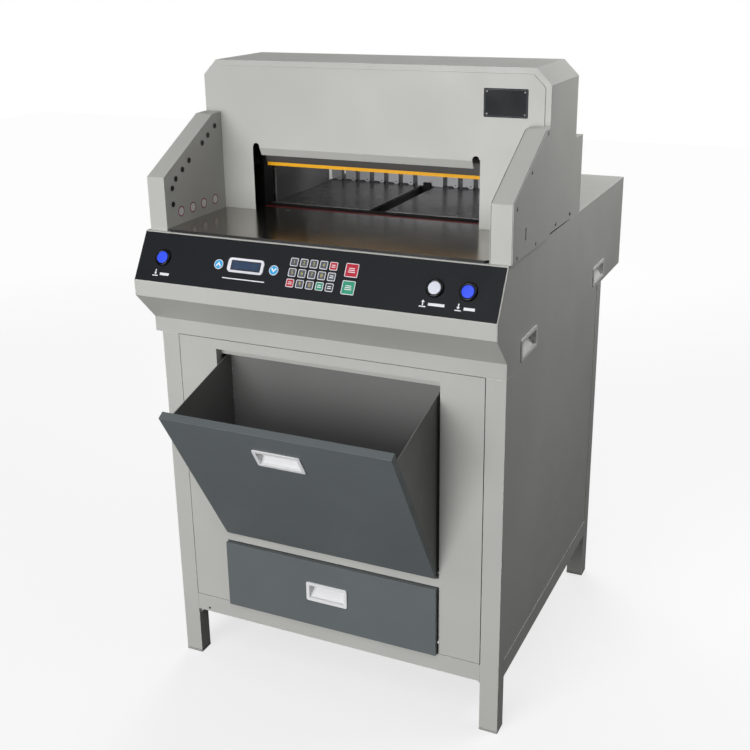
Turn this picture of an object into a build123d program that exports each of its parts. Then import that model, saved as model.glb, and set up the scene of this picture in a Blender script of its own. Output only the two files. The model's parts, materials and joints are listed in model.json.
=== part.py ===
from build123d import *
from math import atan2, cos, degrees, hypot, radians, sin
import os

# Programmable paper cutter on a steel stand, in millimetres.
# While it is drawn, X runs to the right with 0 at the right side of the stand,
# Y runs back from the front of the stand and Z runs up from the floor.
# The upper body is drawn from the top of the stand, and the machine on it from the top of that body.
# Saving a node raises it to its level and puts the origin under the middle of the machine.

# Stand
stand_width = 720
middle_x = stand_width / 2
stand_depth = 680
stand_height = 743
leg_width = 38
leg_depth = 34
tube_wall = 2
glide_height = 5
glide_plug_height = 10
glide_inset = 2
rail_bottom = 112
rail_height = 38
upper_rail_height = 36.4
upper_rail_depth = 30
gusset_width = 12
gusset_height = 14
gusset_thickness = 5
gusset_inset = 8

# Sheet panels of the stand
sheet = 1.5
panel_gap = 1.2
panel_recess = 1
flange_depth = 19
bin_opening_side = 124
bin_opening_left = stand_width - bin_opening_side
bin_opening_right = bin_opening_side
bin_opening_bottom = 318
bin_opening_drop = 21.5
bin_opening_top = stand_height - bin_opening_drop
drawer_opening_top = 300

# Clearances
slide_clearance = 0.3
running_clearance = 0.05
overrun = 5

# Waste bin, drawn closed and turned open about its pins
bin_front_y = -9
bin_bottom = 329.3
bin_top_gap = 1.2
bin_length = bin_opening_top - bin_top_gap - bin_bottom
bin_side_gap = 4
bin_pan_depth = 16
bin_hinge_y = 6
bin_hinge_z = 328
bin_angle = 31
bin_mouth_share = 0.6184
bin_back_share = 0.7737
bin_rim_drop = 19.6
bin_floor_radius = 40
bin_lug_radius = 7
bin_relief = 8
bin_ear_reach = 14
bin_ear_depth = 12
bin_ear_height = 20
bin_ear_share = 0.8184
bin_pin_radius = 2.5
bin_pin_reach = 12
bin_pin_head_radius = 4
bin_pin_head = 2.5

# Drawer
drawer_proud = 10
drawer_pan_depth = 12
drawer_gap_left = 1
drawer_gap_right = 2.5
drawer_gap_bottom = 1
drawer_gap_top = 1.5
drawer_box_bottom = 160
drawer_box_top = 285
drawer_box_end = 600
runner_bottom = 190
runner_height = 36
runner_width = 11
runner_gap = 1
runner_end = 640
bracket_length = 60

# Recessed pulls of the bin and the drawer, and grips in the sides of the body
pull_width = 98
pull_height = 47
drawer_pull_width = 91
drawer_pull_height = 42
grip_width = 96
grip_height = 42
pull_plate = 2.5
pull_corner = 4
pull_wall = 1.6
pull_rim = 7
pull_depth = 15
pull_shallow = 3
pull_seat_clearance = 0.2
bin_pull_share = 0.821
bin_pull_offset = 4
bin_pull_x = middle_x + bin_pull_offset
drawer_pull_z = 230.5
drawer_pull_offset = 2
drawer_pull_x = middle_x + drawer_pull_offset
grip_y = (125, 643)
grip_z = 30

# Upper body
body_overhang = 15
body_sheet = 2
body_flange = 15
body_top = 207
body_back = 853
body_front_step = 30
nose_y = -57
nose_bottom = 90
nose_top = 120
console_top_y = -5
deck_front = 20
deck_table_gap = 0.5
vent_count = 12
vent_width = 5
vent_height = 60
vent_pitch = 16
vent_bottom = 57
inlet_x = 90
inlet_z = 32
inlet_width = 28
inlet_height = 22
inlet_depth = 20
inlet_wall = 3
inlet_pin_width = 4
inlet_pin_thickness = 2
inlet_pin_pitch = 7

# Control panel, measured up the slope of the console
overlay_thickness = 0.8
overlay_margin_low = 1.7
overlay_margin_high = 2.4
overlay_margin_side = 1
left_button_inset = 39.4
left_button_x = stand_width - left_button_inset
clamp_button_x = 121.9
right_button_x = 61.1
button_slope = 50
button_radius = 10.7
button_height = 7
button_chamfer = 1.6
button_travel = 3
button_stem_width = 11
button_stem_length = 16
bezel_radius = 16
bezel_height = 4
bezel_chamfer = 2
switch_width = 30
switch_length = 28
switch_floor_share = 1 / 3
arrow_offsets = (196, 78.4)
arrow_x = [middle_x + offset for offset in arrow_offsets]
arrow_slope = 49.5
arrow_radius = 9.5
key_lift = 1
key_size = 15.5
key_pitch_x = 19.95
key_pitch_slope = 19.85
key_columns = 5
key_rows = 3
key_first_offset = 40
key_first_x = middle_x + key_first_offset
key_first_slope = 29.5
key_corner = 1.4
large_key_size = 25.5
large_key_offset = -76.5
large_key_x = middle_x + large_key_offset
large_key_slopes = (33.1, 65.2)
display_width = 76.5
display_height = 28
display_offset = 137.7
display_x = middle_x + display_offset
display_slope = 51
display_lift = 2.4
display_corner = 10
window_width = 62
window_height = 19
window_lift = 0.9
board_width = 320
board_height = 66
board_thickness = 1.8
board_drop = 22
board_offset = 80
board_x = middle_x + board_offset
standoff_radius = 4
standoff_inset = 8
board_block = (60, 30, 12)

# Table and casting
casting_inset = 30
casting_left = stand_width - casting_inset
casting_right = 36
casting_plate = 15
casting_wall = 18
casting_back = 840
casting_wall_end = 620
casting_rib_y = (130, 400)
casting_rib_depth = 60
casting_rib_thickness = 9
casting_window_margin = 45
casting_window_corner = 24
table_thickness = 5
front_table_inset = 31
front_table_left = stand_width - front_table_inset
front_table_right = 37
front_table_front = -1
front_table_back = 249
front_table_chamfer = 8
stick_depth = 11.4
stick_gap = 0.3
stick_sink = 3
cut_inset = 103
cut_left = stand_width - cut_inset
cut_right = 131
strip_back = 291.5
strip_drop = 0.5
rear_table_front = 292
rear_table_back = 832
rear_table_left_inset = 98
rear_table_left_edge = stand_width - rear_table_left_inset
rear_table_right_edge = 128
gauge_slot_left_offset = 34.5
gauge_slot_left = middle_x + gauge_slot_left_offset
gauge_slot_right_offset = -1.3
gauge_slot_right = middle_x + gauge_slot_right_offset
side_gauge_thickness = 3
side_gauge_front = 305
side_gauge_back = 554
side_gauge_height = 78
side_gauge_chamfer = 8

# Back gauge
channel_wall = 8
channel_depth = 65
screw_depth = 40
screw_radius = 7
journal_radius = 5
screw_shoulder_gap = 1
comb_y = 565
comb_depth = 35
comb_finger_depth = 14
comb_pitch = 36
comb_finger = 25
comb_tab = 12
comb_tab_height = 10
comb_lift = 0.5
comb_height = 95
comb_beam_lift = 22
comb_side_gap = 1.5
comb_block_left_offset = 53
comb_block_left = middle_x + comb_block_left_offset
comb_block_right_offset = -3
comb_block_right = middle_x + comb_block_right_offset
comb_block_lift = 4
carriage_nub = 8
carriage_nub_width = 24
carriage_nub_height = 9
gauge_motor_size = 48
gauge_motor_length = 46
gauge_motor_corner = 4

# Press frame with slanted knife guides
frame_front = 262
frame_depth = 38
frame_inset = 8
frame_left = stand_width - frame_inset
frame_right = 13
frame_gap_inset = 98
frame_gap_left = stand_width - frame_gap_inset
frame_gap_right = 118
frame_head_gap = 54.5
bridge_bottom = 158
bridge_top = 190
frame_corner = 12
guide_inset_left = 48
guide_inset_right = 86
guide_x = (stand_width - guide_inset_left, guide_inset_right)
guide_z = 182
guide_pin_radius = 9.5
knife_drop = 91.5
knife_shift = 33

# Knife
knife_front = 250
knife_thickness = 10
knife_edge = 97
knife_height = 66
knife_bevel = 22
knife_land = 1.5
knife_beam_depth = 14
knife_beam_bottom = 135
knife_beam_top = 212
knife_beam_inset = 30
knife_beam_left = stand_width - knife_beam_inset
knife_beam_right = 60
knife_beam_chamfer = 12
knife_bolt_radius = 6
knife_bolt_head = 4
knife_bolts = 8
guide_pin_length = 44
pull_rod_x = 116
pull_rod_width = 20
pull_rod_inset = 2
pull_rod_base_gap = 101

# Clamp
clamp_front = 264
clamp_depth = 24
clamp_bottom = 92
clamp_height = 58
clamp_inset = 107.5
clamp_left = stand_width - clamp_inset
clamp_right = 131
clamp_rebate = 7
clamp_rebate_share = 2 / 3
strip_thickness = 2.5
strip_height = 11.5
clamp_screw_offsets = (130, -106)
clamp_screw_x = [middle_x + offset for offset in clamp_screw_offsets]
clamp_screw_radius = 8
clamp_screw_head_gap = 10.5
clamp_drive_height = 60
clamp_drive_margin = 40
clamp_drive_chamfer = 12
clamp_motor_radius = 24
clamp_motor_length = 80

# Main drive below the table
drive_left = 330
drive_right = 60
drive_front = 215
drive_depth = 65
drive_height = 125
drive_chamfer = 18
drive_fin = 4
drive_fin_thickness = 5
drive_motor_radius = 48
drive_motor_length = 150
drive_fin_pairs = 6
well_clearance = 0.5

# Head
head_overhang = 5
head_left = stand_width + head_overhang
head_front = 216
head_back = 399
head_top = 304.5
frame_top = head_top - frame_head_gap
clamp_screw_top = head_top - clamp_screw_head_gap
head_chamfer = 29.5
head_sheet = 2
head_flange = 18
plate_inset = 11
plate_thickness = 2
mouth_inset = 102
mouth_left = stand_width - mouth_inset
mouth_right = 131
mouth_top = 133
lip_bottom = 117
lip_depth = 8
slot_radius = 7
left_slot_inset = 110.3
left_slot_x = stand_width - left_slot_inset
right_slot_x = 139.5
slot_centre = 135
rear_box_back = 452
rear_box_top = 156
rear_mouth_gap = 3
rear_mouth_top = 112

# Guards at both sides of the table
left_guard_overhang = 7.5
left_guard_outer = stand_width + left_guard_overhang
left_guard_inner_inset = 30.5
left_guard_inner = stand_width - left_guard_inner_inset
right_guard_inner = 36.4
right_guard_outer = -4.3
guard_back = 214
guard_low_top = 103.5
guard_slope_y = 181.6
guard_slope_top = 201
guard_top = 202
sensor_radius = 4.6
sensor_row = (
    (188, 176.5), (161, 161.5), (139, 149), (89, 122.6),
    (64, 108.8), (39.6, 94.8), (26, 78.6), (25.4, 47.6))
latch_y = 72
latch_z = (28, 50)
latch_width = 5


def box(x, y, z):
    """Solid box between the low and high values given for each axis."""
    sizes = [high - low for low, high in (x, y, z)]
    middles = [(high + low) / 2 for low, high in (x, y, z)]
    return Pos(*middles) * Box(*sizes)


def tray(x, y, z, wall, open_side):
    """Sheet tray with one open side, named by its sign and axis."""
    inner = [[low + wall, high - wall] for low, high in (x, y, z)]
    axis = "xyz".index(open_side[1])
    if open_side[0] == "-":
        inner[axis][0] -= wall + overrun
    else:
        inner[axis][1] += wall + overrun
    return box(x, y, z) - box(*inner)


def outline(*points):
    """Face inside a closed outline of points."""
    return make_face(Polyline(*points, close=True))


def across(face, x):
    """Solid along X from a face drawn in Y and Z."""
    plane = Plane(origin=(x[0], 0, 0), x_dir=(0, 1, 0), z_dir=(1, 0, 0))
    return extrude(plane * face, amount=x[1] - x[0])


def along(face, y):
    """Solid along Y from a face drawn in X and Z."""
    plane = Plane(origin=(0, y[1], 0), x_dir=(1, 0, 0), z_dir=(0, -1, 0))
    return extrude(plane * face, amount=y[1] - y[0])


def upward(face, z):
    """Solid along Z from a face drawn in X and Y."""
    return extrude(Pos(0, 0, z[0]) * face, amount=z[1] - z[0])


def rod(start, direction, radius, length):
    """Round bar from its start along a direction."""
    base = Plane(origin=start, z_dir=direction)
    return base * Cylinder(radius, length, align=(Align.CENTER, Align.CENTER, Align.MIN))


def folded(points, thickness, x):
    """Folded sheet that follows points in Y and Z, with its thickness on the right of the path."""
    path = Polyline(*points)
    return across(make_face(offset(path, amount=thickness, side=Side.RIGHT)), x)


def rounded(shape, radius, axis):
    """Shape with its edges along one axis rounded."""
    return fillet(shape.edges().filter_by(axis), radius)


def recessed_pull(width, height):
    """Recessed pull seen from the front: plate at Y 0 and forward, scooped cup behind it."""
    half_width = width / 2
    half_height = height / 2
    plate = box((-half_width, half_width), (-pull_plate, 0), (-half_height, half_height))
    plate = rounded(plate, pull_corner, Axis.Y)
    mouth_x = half_width - pull_rim
    mouth_z = half_height - pull_rim
    scoop = outline(
        (-pull_plate - overrun, -mouth_z), (0, -mouth_z), (pull_shallow, -mouth_z),
        (pull_depth, 0), (pull_depth, mouth_z), (-pull_plate - overrun, mouth_z))
    cup_depth = pull_depth + pull_wall
    cup = outline(
        (0, -mouth_z - pull_wall), (pull_shallow + pull_wall, -mouth_z - pull_wall),
        (cup_depth, -pull_wall), (cup_depth, mouth_z + pull_wall), (0, mouth_z + pull_wall))
    body = plate + across(cup, (-mouth_x - pull_wall, mouth_x + pull_wall))
    return body - across(scoop, (-mouth_x, mouth_x))


def pull_hole(width, height, depth):
    """Cut for the cup of a recessed pull through a sheet of some depth."""
    half_x = width / 2 - pull_rim + pull_wall + pull_seat_clearance
    half_z = height / 2 - pull_rim + pull_wall + pull_seat_clearance
    return box((-half_x, half_x), (-overrun, depth + overrun), (-half_z, half_z))


left_x = -stand_width
body_left = -stand_width - body_overhang
total_left = body_left - pull_plate
total_right = -right_guard_outer
bin_tilt = radians(bin_angle)
bin_top_y = (bin_hinge_y + (bin_front_y - bin_hinge_y) * cos(bin_tilt)
             - (bin_bottom + bin_length - bin_hinge_z) * sin(bin_tilt))
centre_shift = Pos(-(total_left + total_right) / 2, -(bin_top_y + body_back) / 2, 0)
written = {}


def save(name, *pieces, level=0):
    """Write the pieces of one node, raised to its level and moved to the machine's own origin."""
    solids = [solid for piece in pieces for solid in piece.solids()]
    written[name] = centre_shift * Pos(0, 0, level) * Compound(solids)
    export_step(written[name], f"parts/{name}.step")


def save_on_stand(name, *pieces):
    """Write a node that is drawn from the top of the stand."""
    save(name, *pieces, level=stand_height)


def save_on_deck(name, *pieces):
    """Write a node that is drawn from the top of the upper body."""
    save(name, *pieces, level=stand_height + body_top)


os.makedirs("parts", exist_ok=True)

# Legs: square tubes on plastic glides
leg_places = {
    "front_left_leg": (left_x, 0),
    "front_right_leg": (-leg_width, 0),
    "rear_left_leg": (left_x, stand_depth - leg_depth),
    "rear_right_leg": (-leg_width, stand_depth - leg_depth),
}
for name, (x, y) in leg_places.items():
    outer = box((x, x + leg_width), (y, y + leg_depth), (glide_height, stand_height))
    bore = box((x + tube_wall, x + leg_width - tube_wall), (y + tube_wall, y + leg_depth - tube_wall),
               (glide_height - overrun, stand_height + overrun))
    glide = box((x + glide_inset, x + leg_width - glide_inset),
                (y + glide_inset, y + leg_depth - glide_inset), (0, glide_plug_height))
    flange = box((x, x + leg_width), (y, y + leg_depth), (0, glide_height))
    save(name, outer - bore, glide + flange)

# Rails
inner_left = left_x + leg_width
inner_right = -leg_width
rail_top = rail_bottom + rail_height
rear_leg_front = stand_depth - leg_depth


def square_tube(x, y, z, axis):
    """Tube of the stand's wall that is open at both ends along one axis."""
    inner = [[low + tube_wall, high - tube_wall] for low, high in (x, y, z)]
    place = "xyz".index(axis)
    inner[place][0] -= tube_wall + overrun
    inner[place][1] += tube_wall + overrun
    return box(x, y, z) - box(*inner)


cross_rails = []
gussets = []
for y in (0, rear_leg_front):
    rail_y = (y, y + leg_depth)
    cross_rails.append(square_tube((inner_left, inner_right), rail_y, (rail_bottom, rail_top), "x"))
    for side, edge in ((1, inner_left), (-1, inner_right)):
        corner = outline((edge, rail_bottom), (edge + side * gusset_width, rail_bottom),
                         (edge, rail_bottom - gusset_height))
        gussets.append(along(corner, (y + gusset_inset, y + gusset_inset + gusset_thickness)))
save("lower_cross_rails", *cross_rails, *gussets)
save("lower_side_rails", *[
    square_tube((x, x + leg_depth), (leg_depth, rear_leg_front), (rail_bottom, rail_top), "y")
    for x in (left_x, -leg_depth)])
upper_rail_bottom = stand_height - upper_rail_height
upper_rail_ys = (flange_depth, stand_depth - flange_depth - upper_rail_depth)
save("upper_cross_rails", *[
    square_tube((inner_left, inner_right), (y, y + upper_rail_depth), (upper_rail_bottom, stand_height), "x")
    for y in upper_rail_ys])
side_rail_width = leg_width - flange_depth
save("upper_side_rails", *[
    square_tube((x, x + side_rail_width), (leg_depth, rear_leg_front), (upper_rail_bottom, stand_height), "y")
    for x in (left_x + flange_depth, -leg_width)])

# Front panel with the openings of the bin and the drawer
opening_x = (-bin_opening_left, -bin_opening_right)
opening_z = (bin_opening_bottom, bin_opening_top)
panel_x = (inner_left + panel_gap, inner_right - panel_gap)
panel_z = (rail_top + panel_gap, stand_height - panel_gap)
front_panel = tray(panel_x, (0, flange_depth), panel_z, sheet, "+y")
for z_range in (opening_z, (rail_top, drawer_opening_top)):
    frame_x = (opening_x[0] - sheet, opening_x[1] + sheet)
    frame_z = (z_range[0] - sheet, z_range[1] + sheet)
    front_panel += box(frame_x, (0, flange_depth), (max(frame_z[0], panel_z[0]), frame_z[1]))
for z_range in (opening_z, (rail_top - overrun, drawer_opening_top)):
    front_panel -= box(opening_x, (-overrun, flange_depth + overrun), z_range)
for x in (opening_x[0] - sheet - overrun, opening_x[1] - overrun):
    front_panel -= rod((x, bin_hinge_y, bin_hinge_z), (1, 0, 0), bin_pin_radius + running_clearance,
                       sheet + overrun * 2)
save("front_panel", front_panel)

panel_y = (leg_depth + panel_gap, rear_leg_front - panel_gap)
save("side_panels",
     tray((left_x + panel_recess, left_x + flange_depth), panel_y, panel_z, sheet, "+x"),
     tray((-flange_depth, -panel_recess), panel_y, panel_z, sheet, "-x"))
save("rear_panel",
     tray(panel_x, (stand_depth - flange_depth, stand_depth - panel_recess), panel_z, sheet, "-y"))

# Waste bin
pan_x = (opening_x[0] + bin_side_gap, opening_x[1] - bin_side_gap)
pan_back = bin_front_y + bin_pan_depth
pan_inside = bin_front_y + sheet
bin_top = bin_bottom + bin_length
hinge_line = Axis((0, bin_hinge_y, bin_hinge_z), (1, 0, 0))
bin_front = tray(pan_x, (bin_front_y, pan_back), (bin_bottom, bin_top), sheet, "+y")
for x in ((pan_x[0] - overrun, pan_x[0] + bin_relief), (pan_x[1] - bin_relief, pan_x[1] + overrun)):
    bin_front -= box(x, (pan_inside, pan_back + overrun), (bin_bottom - overrun, bin_bottom + bin_relief))
bin_pull_place = Pos(-bin_pull_x, bin_front_y, bin_bottom + bin_length * bin_pull_share)
bin_front -= bin_pull_place * pull_hole(pull_width, pull_height, sheet)
save("bin_front", bin_front.rotate(hinge_line, bin_angle))
save("bin_handle", (bin_pull_place * recessed_pull(pull_width, pull_height)).rotate(hinge_line, bin_angle))

bin_floor = bin_bottom + sheet
bin_back_y = bin_front_y + bin_length * bin_mouth_share
bin_back_z = bin_bottom + bin_length * bin_back_share
bin_foot_y = bin_back_y - (bin_back_z - bin_floor) * sin(bin_tilt) / cos(bin_tilt)
bin_side = outline((pan_inside, bin_floor), (bin_foot_y, bin_floor), (bin_back_y, bin_back_z),
                   (pan_inside, bin_top - bin_rim_drop))
heel = bin_side.vertices().sort_by_distance((bin_foot_y, bin_floor, 0))[0]
bin_side = fillet(heel, bin_floor_radius)
bin_space = offset(bin_side, amount=-sheet, kind=Kind.INTERSECTION)
wall_x = (pan_x[0] + sheet, pan_x[1] - sheet)
space_x = (wall_x[0] + sheet, wall_x[1] - sheet)
bin_body = across(bin_side, wall_x)
for shift in ((0, 0), (-overrun, 0), (0, overrun), (-overrun, overrun)):
    bin_body -= across(Pos(*shift) * bin_space, space_x)
for x in (wall_x[0], wall_x[1] - sheet):
    bin_body += rod((x, bin_hinge_y, bin_hinge_z), (1, 0, 0), bin_lug_radius, sheet)
    bin_body -= rod((x - overrun, bin_hinge_y, bin_hinge_z), (1, 0, 0), bin_pin_radius + running_clearance,
                    sheet + overrun * 2)
bin_body = bin_body.rotate(hinge_line, bin_angle)
ear_y = flange_depth + slide_clearance
ear_bottom = bin_hinge_z + bin_length * bin_ear_share
for x in ((wall_x[0] - bin_ear_reach, wall_x[0] + sheet), (wall_x[1] - sheet, wall_x[1] + bin_ear_reach)):
    bin_body += box(x, (ear_y, ear_y + bin_ear_depth), (ear_bottom, ear_bottom + bin_ear_height))
save("bin_body", bin_body)

bin_pins = []
for edge, side in ((opening_x[0], 1), (opening_x[1], -1)):
    head_x = edge - side * (sheet + bin_pin_head)
    pin_start = (head_x, bin_hinge_y, bin_hinge_z)
    shank = rod(pin_start, (side, 0, 0), bin_pin_radius, bin_pin_head + bin_pin_reach)
    head = rod(pin_start, (side, 0, 0), bin_pin_head_radius, bin_pin_head)
    bin_pins.append(shank + head)
save("bin_pins", *bin_pins)

# Drawer on channel runners
drawer_x = (opening_x[0] + drawer_gap_left, opening_x[1] - drawer_gap_right)
drawer_z = (rail_top + drawer_gap_bottom, drawer_opening_top - drawer_gap_top)
drawer_front = tray(drawer_x, (-drawer_proud, drawer_pan_depth - drawer_proud), drawer_z, sheet, "+y")
drawer_pull_place = Pos(-drawer_pull_x, -drawer_proud, drawer_pull_z)
drawer_cut = drawer_pull_place * pull_hole(drawer_pull_width, drawer_pull_height, sheet * 2)
save("drawer_front", drawer_front - drawer_cut)
save("drawer_handle", drawer_pull_place * recessed_pull(drawer_pull_width, drawer_pull_height))
box_x = (opening_x[0] + runner_width, opening_x[1] - runner_width)
drawer_box = tray(box_x, (sheet - drawer_proud, drawer_box_end), (drawer_box_bottom, drawer_box_top),
                  sheet, "+z")
save("drawer_box", drawer_box - drawer_cut)

runner_start = drawer_pan_depth - drawer_proud + runner_gap
runner_z = (runner_bottom, runner_bottom + runner_height)
lip_reach = runner_width - slide_clearance
runners = []
slides = []
for edge, side in ((opening_x[0], 1), (opening_x[1], -1)):
    lip_x = sorted((edge, edge + side * lip_reach))
    web_x = sorted((edge, edge + side * sheet))
    groove_x = sorted((edge + side * sheet, edge + side * (lip_reach + overrun)))
    bar_x = sorted((edge + side * (sheet + slide_clearance), edge + side * runner_width))
    bracket_x = sorted((edge, edge - side * sheet))
    channel = box(lip_x, (runner_start, runner_end), runner_z)
    channel -= box(groove_x, (runner_start - overrun, runner_end + overrun),
                   (runner_z[0] + sheet, runner_z[1] - sheet))
    bracket = box(bracket_x, (stand_depth - flange_depth - bracket_length, stand_depth - flange_depth),
                  (rail_top, runner_z[1]))
    runners += [channel, bracket]
    slides.append(box(bar_x, (runner_start + overrun, drawer_box_end),
                      (runner_z[0] + sheet + slide_clearance, runner_z[1] - sheet - slide_clearance)))
save("drawer_runners", *runners)
save("drawer_slides", *slides)

# Upper body: folded sheets on two side plates, drawn from the top of the stand
body_points = ((0, 0), (0, body_front_step), (nose_y, nose_bottom), (nose_y, nose_top),
               (console_top_y, body_top), (body_back, body_top), (body_back, 0))
body_face = outline(*body_points)
seat_face = offset(body_face, amount=-body_sheet, kind=Kind.INTERSECTION)
inner_face = offset(body_face, amount=-body_sheet * 2, kind=Kind.INTERSECTION)
body_x = (body_left + body_sheet, -body_sheet)
grip_places = {"left": [], "right": []}
for y in grip_y:
    grip_places["left"].append(Location((body_left, y, grip_z), (0, 0, -90)))
    grip_places["right"].append(Location((0, y, grip_z), (0, 0, 90)))
side_ranges = {
    "left": ((body_left, body_x[0]), (body_x[0], body_x[0] + body_flange)),
    "right": ((body_x[1], 0), (body_x[1] - body_flange, body_x[1])),
}
for side, (plate_x, flange_x) in side_ranges.items():
    plate = across(body_face, plate_x)
    plate += across(seat_face, flange_x) - across(inner_face, flange_x)
    for place in grip_places[side]:
        plate -= place * pull_hole(grip_width, grip_height, body_sheet)
    save_on_stand(f"body_{side}_side", plate)
    grips = [place * recessed_pull(grip_width, grip_height) for place in grip_places[side]]
    save_on_stand(f"{side}_grips", *grips)

console = folded(((body_sheet, 0), (0, 0), *body_points[1:5], (deck_front, body_top)),
                 body_sheet, body_x)
slope_run = console_top_y - nose_y
slope_rise = body_top - nose_top
slope_length = hypot(slope_run, slope_rise)
slope_out = (0, -slope_rise / slope_length, slope_run / slope_length)
panel_plane = Plane(origin=(0, nose_y, nose_top), x_dir=(1, 0, 0), z_dir=slope_out)


def on_panel(x, slope, lift, shape):
    """Shape placed on the console at a distance from the right, up the slope and off its face."""
    return panel_plane * Pos(-x, slope, lift) * shape


def plug(radius, length):
    """Cylinder that stands on its place."""
    return Cylinder(radius, length, align=(Align.CENTER, Align.CENTER, Align.MIN))


def post(width, length):
    """Square bar that stands on its place."""
    return Box(width, width, length, align=(Align.CENTER, Align.CENTER, Align.MIN))


def hexagon(radius, length):
    """Hexagon bar that stands on its place."""
    return extrude(RegularPolygon(radius, 6), amount=length)


button_places = {
    "left_cut_button": left_button_x,
    "clamp_button": clamp_button_x,
    "right_cut_button": right_button_x,
}
overlay_x = (body_left + overlay_margin_side, -body_sheet)
overlay_centre = -(overlay_x[0] + overlay_x[1]) / 2
overlay_height = slope_length - overlay_margin_low - overlay_margin_high
overlay = on_panel(overlay_centre, overlay_margin_low + overlay_height / 2, overlay_thickness / 2,
                   Box(overlay_x[1] - overlay_x[0], overlay_height, overlay_thickness))
bore_radius = button_radius + slide_clearance
switches = []
for name, x in button_places.items():
    overlay -= on_panel(x, button_slope, -overrun, plug(bezel_radius, overrun * 2))
    console -= on_panel(x, button_slope, -body_sheet - overrun, plug(bore_radius, overrun * 3))
    ring_face = outline((bore_radius, 0), (bezel_radius, 0), (bezel_radius, bezel_height - bezel_chamfer),
                        (bezel_radius - bezel_chamfer, bezel_height), (bore_radius, bezel_height))
    switches.append(on_panel(x, button_slope, 0, revolve(Plane.XZ * ring_face, Axis.Z)))
    housing = post(switch_width, switch_length)
    housing -= Pos(0, 0, switch_length * switch_floor_share) * post(
        button_stem_width + slide_clearance * 2, switch_length)
    switches.append(on_panel(x, button_slope, -body_sheet - switch_length, housing))
    cap_base = button_travel - body_sheet + slide_clearance
    cap = Pos(0, 0, cap_base) * plug(button_radius, button_height - cap_base)
    cap = chamfer(cap.edges().sort_by(Axis.Z)[-1], button_chamfer)
    cap += Pos(0, 0, cap_base - button_stem_length) * post(button_stem_width, button_stem_length)
    save_on_stand(name, on_panel(x, button_slope, 0, cap))
save_on_stand("button_switches", *switches)
save_on_stand("console_shell", console)
save_on_stand("control_overlay", overlay)


def key(size):
    """Raised membrane key with its corners taken off."""
    block = Box(size, size, key_lift)
    return chamfer(block.edges().filter_by(Axis.Z), key_corner)


key_height = overlay_thickness + key_lift / 2
keys = []
for row in range(key_rows):
    slope = key_first_slope + row * key_pitch_slope
    for column in range(key_columns):
        keys.append(on_panel(key_first_x - column * key_pitch_x, slope, key_height, key(key_size)))
for slope in large_key_slopes:
    keys.append(on_panel(large_key_x, slope, key_height, key(large_key_size)))
for x in arrow_x:
    keys.append(on_panel(x, arrow_slope, overlay_thickness, plug(arrow_radius, key_lift)))
save_on_stand("membrane_keys", *keys)
bezel = rounded(Box(display_width, display_height, display_lift), display_corner, Axis.Z)
bezel -= Box(window_width, window_height, display_lift * 2)
display_middle = overlay_thickness + display_lift / 2
save_on_stand("display_bezel", on_panel(display_x, display_slope, display_middle, bezel))
window = Box(window_width, window_height, window_lift)
window_middle = overlay_thickness + window_lift / 2
save_on_stand("display_screen", on_panel(display_x, display_slope, window_middle, window))
board_slope = slope_length / 2
block_drop = board_drop + (board_thickness + board_block[2]) / 2
board = [on_panel(board_x, board_slope, -board_drop, Box(board_width, board_height, board_thickness))]
board.append(on_panel(board_x, board_slope, -block_drop, Box(*board_block)))
standoff_length = board_drop - board_thickness / 2 - body_sheet
for sign_x in (-1, 1):
    for sign_y in (-1, 1):
        x = board_x + sign_x * (board_width / 2 - standoff_inset)
        slope = board_slope + sign_y * (board_height / 2 - standoff_inset)
        standoff = hexagon(standoff_radius, standoff_length)
        board.append(on_panel(x, slope, -body_sheet - standoff_length, standoff))
save_on_stand("control_board", *board)

casting_x = (-casting_left, -casting_right)
deck_bottom = body_top - body_sheet
deck = box(body_x, (deck_front, body_back - body_sheet), (deck_bottom, body_top))
deck_z = (deck_bottom - overrun, body_top + overrun)
deck_mouth_x = (-rear_table_left_edge - deck_table_gap, -rear_table_right_edge + deck_table_gap)
cover_front = rear_box_back - head_sheet
deck -= box(casting_x, (deck_front - overrun, cover_front), deck_z)
deck -= box(deck_mouth_x, (cover_front - overrun, casting_back), deck_z)
save_on_stand("top_deck", *deck.solids())
pan_bottom = box(body_x, (body_sheet, body_back - body_sheet), (0, body_sheet))
save_on_stand("base_pan", pan_bottom)

rear_cover = box(body_x, (body_back - body_sheet, body_back), (0, body_top))
vent_left = -middle_x - (vent_count - 1) * vent_pitch / 2
vent_y = (body_back - body_sheet - overrun, body_back + overrun)
for number in range(vent_count):
    x = vent_left + number * vent_pitch
    rear_cover -= box((x - vent_width / 2, x + vent_width / 2), vent_y,
                      (vent_bottom, vent_bottom + vent_height))
half_width = inlet_width / 2
half_height = inlet_height / 2
inlet_outer = box((-inlet_x - half_width, -inlet_x + half_width), (body_back - inlet_depth, body_back),
                  (inlet_z - half_height, inlet_z + half_height))
inlet_hole = box((-inlet_x - half_width + inlet_wall, -inlet_x + half_width - inlet_wall),
                 (body_back - inlet_depth + inlet_wall, body_back + overrun),
                 (inlet_z - half_height + inlet_wall, inlet_z + half_height - inlet_wall))
inlet = inlet_outer - inlet_hole
for number in (-1, 0, 1):
    pin_x = -inlet_x + number * inlet_pin_pitch
    inlet += box((pin_x - inlet_pin_thickness / 2, pin_x + inlet_pin_thickness / 2),
                 (body_back - inlet_depth, body_back - inlet_wall),
                 (inlet_z - inlet_pin_width / 2, inlet_z + inlet_pin_width / 2))
save_on_stand("rear_cover", rear_cover - inlet_outer)
save_on_stand("power_inlet", inlet)

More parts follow.
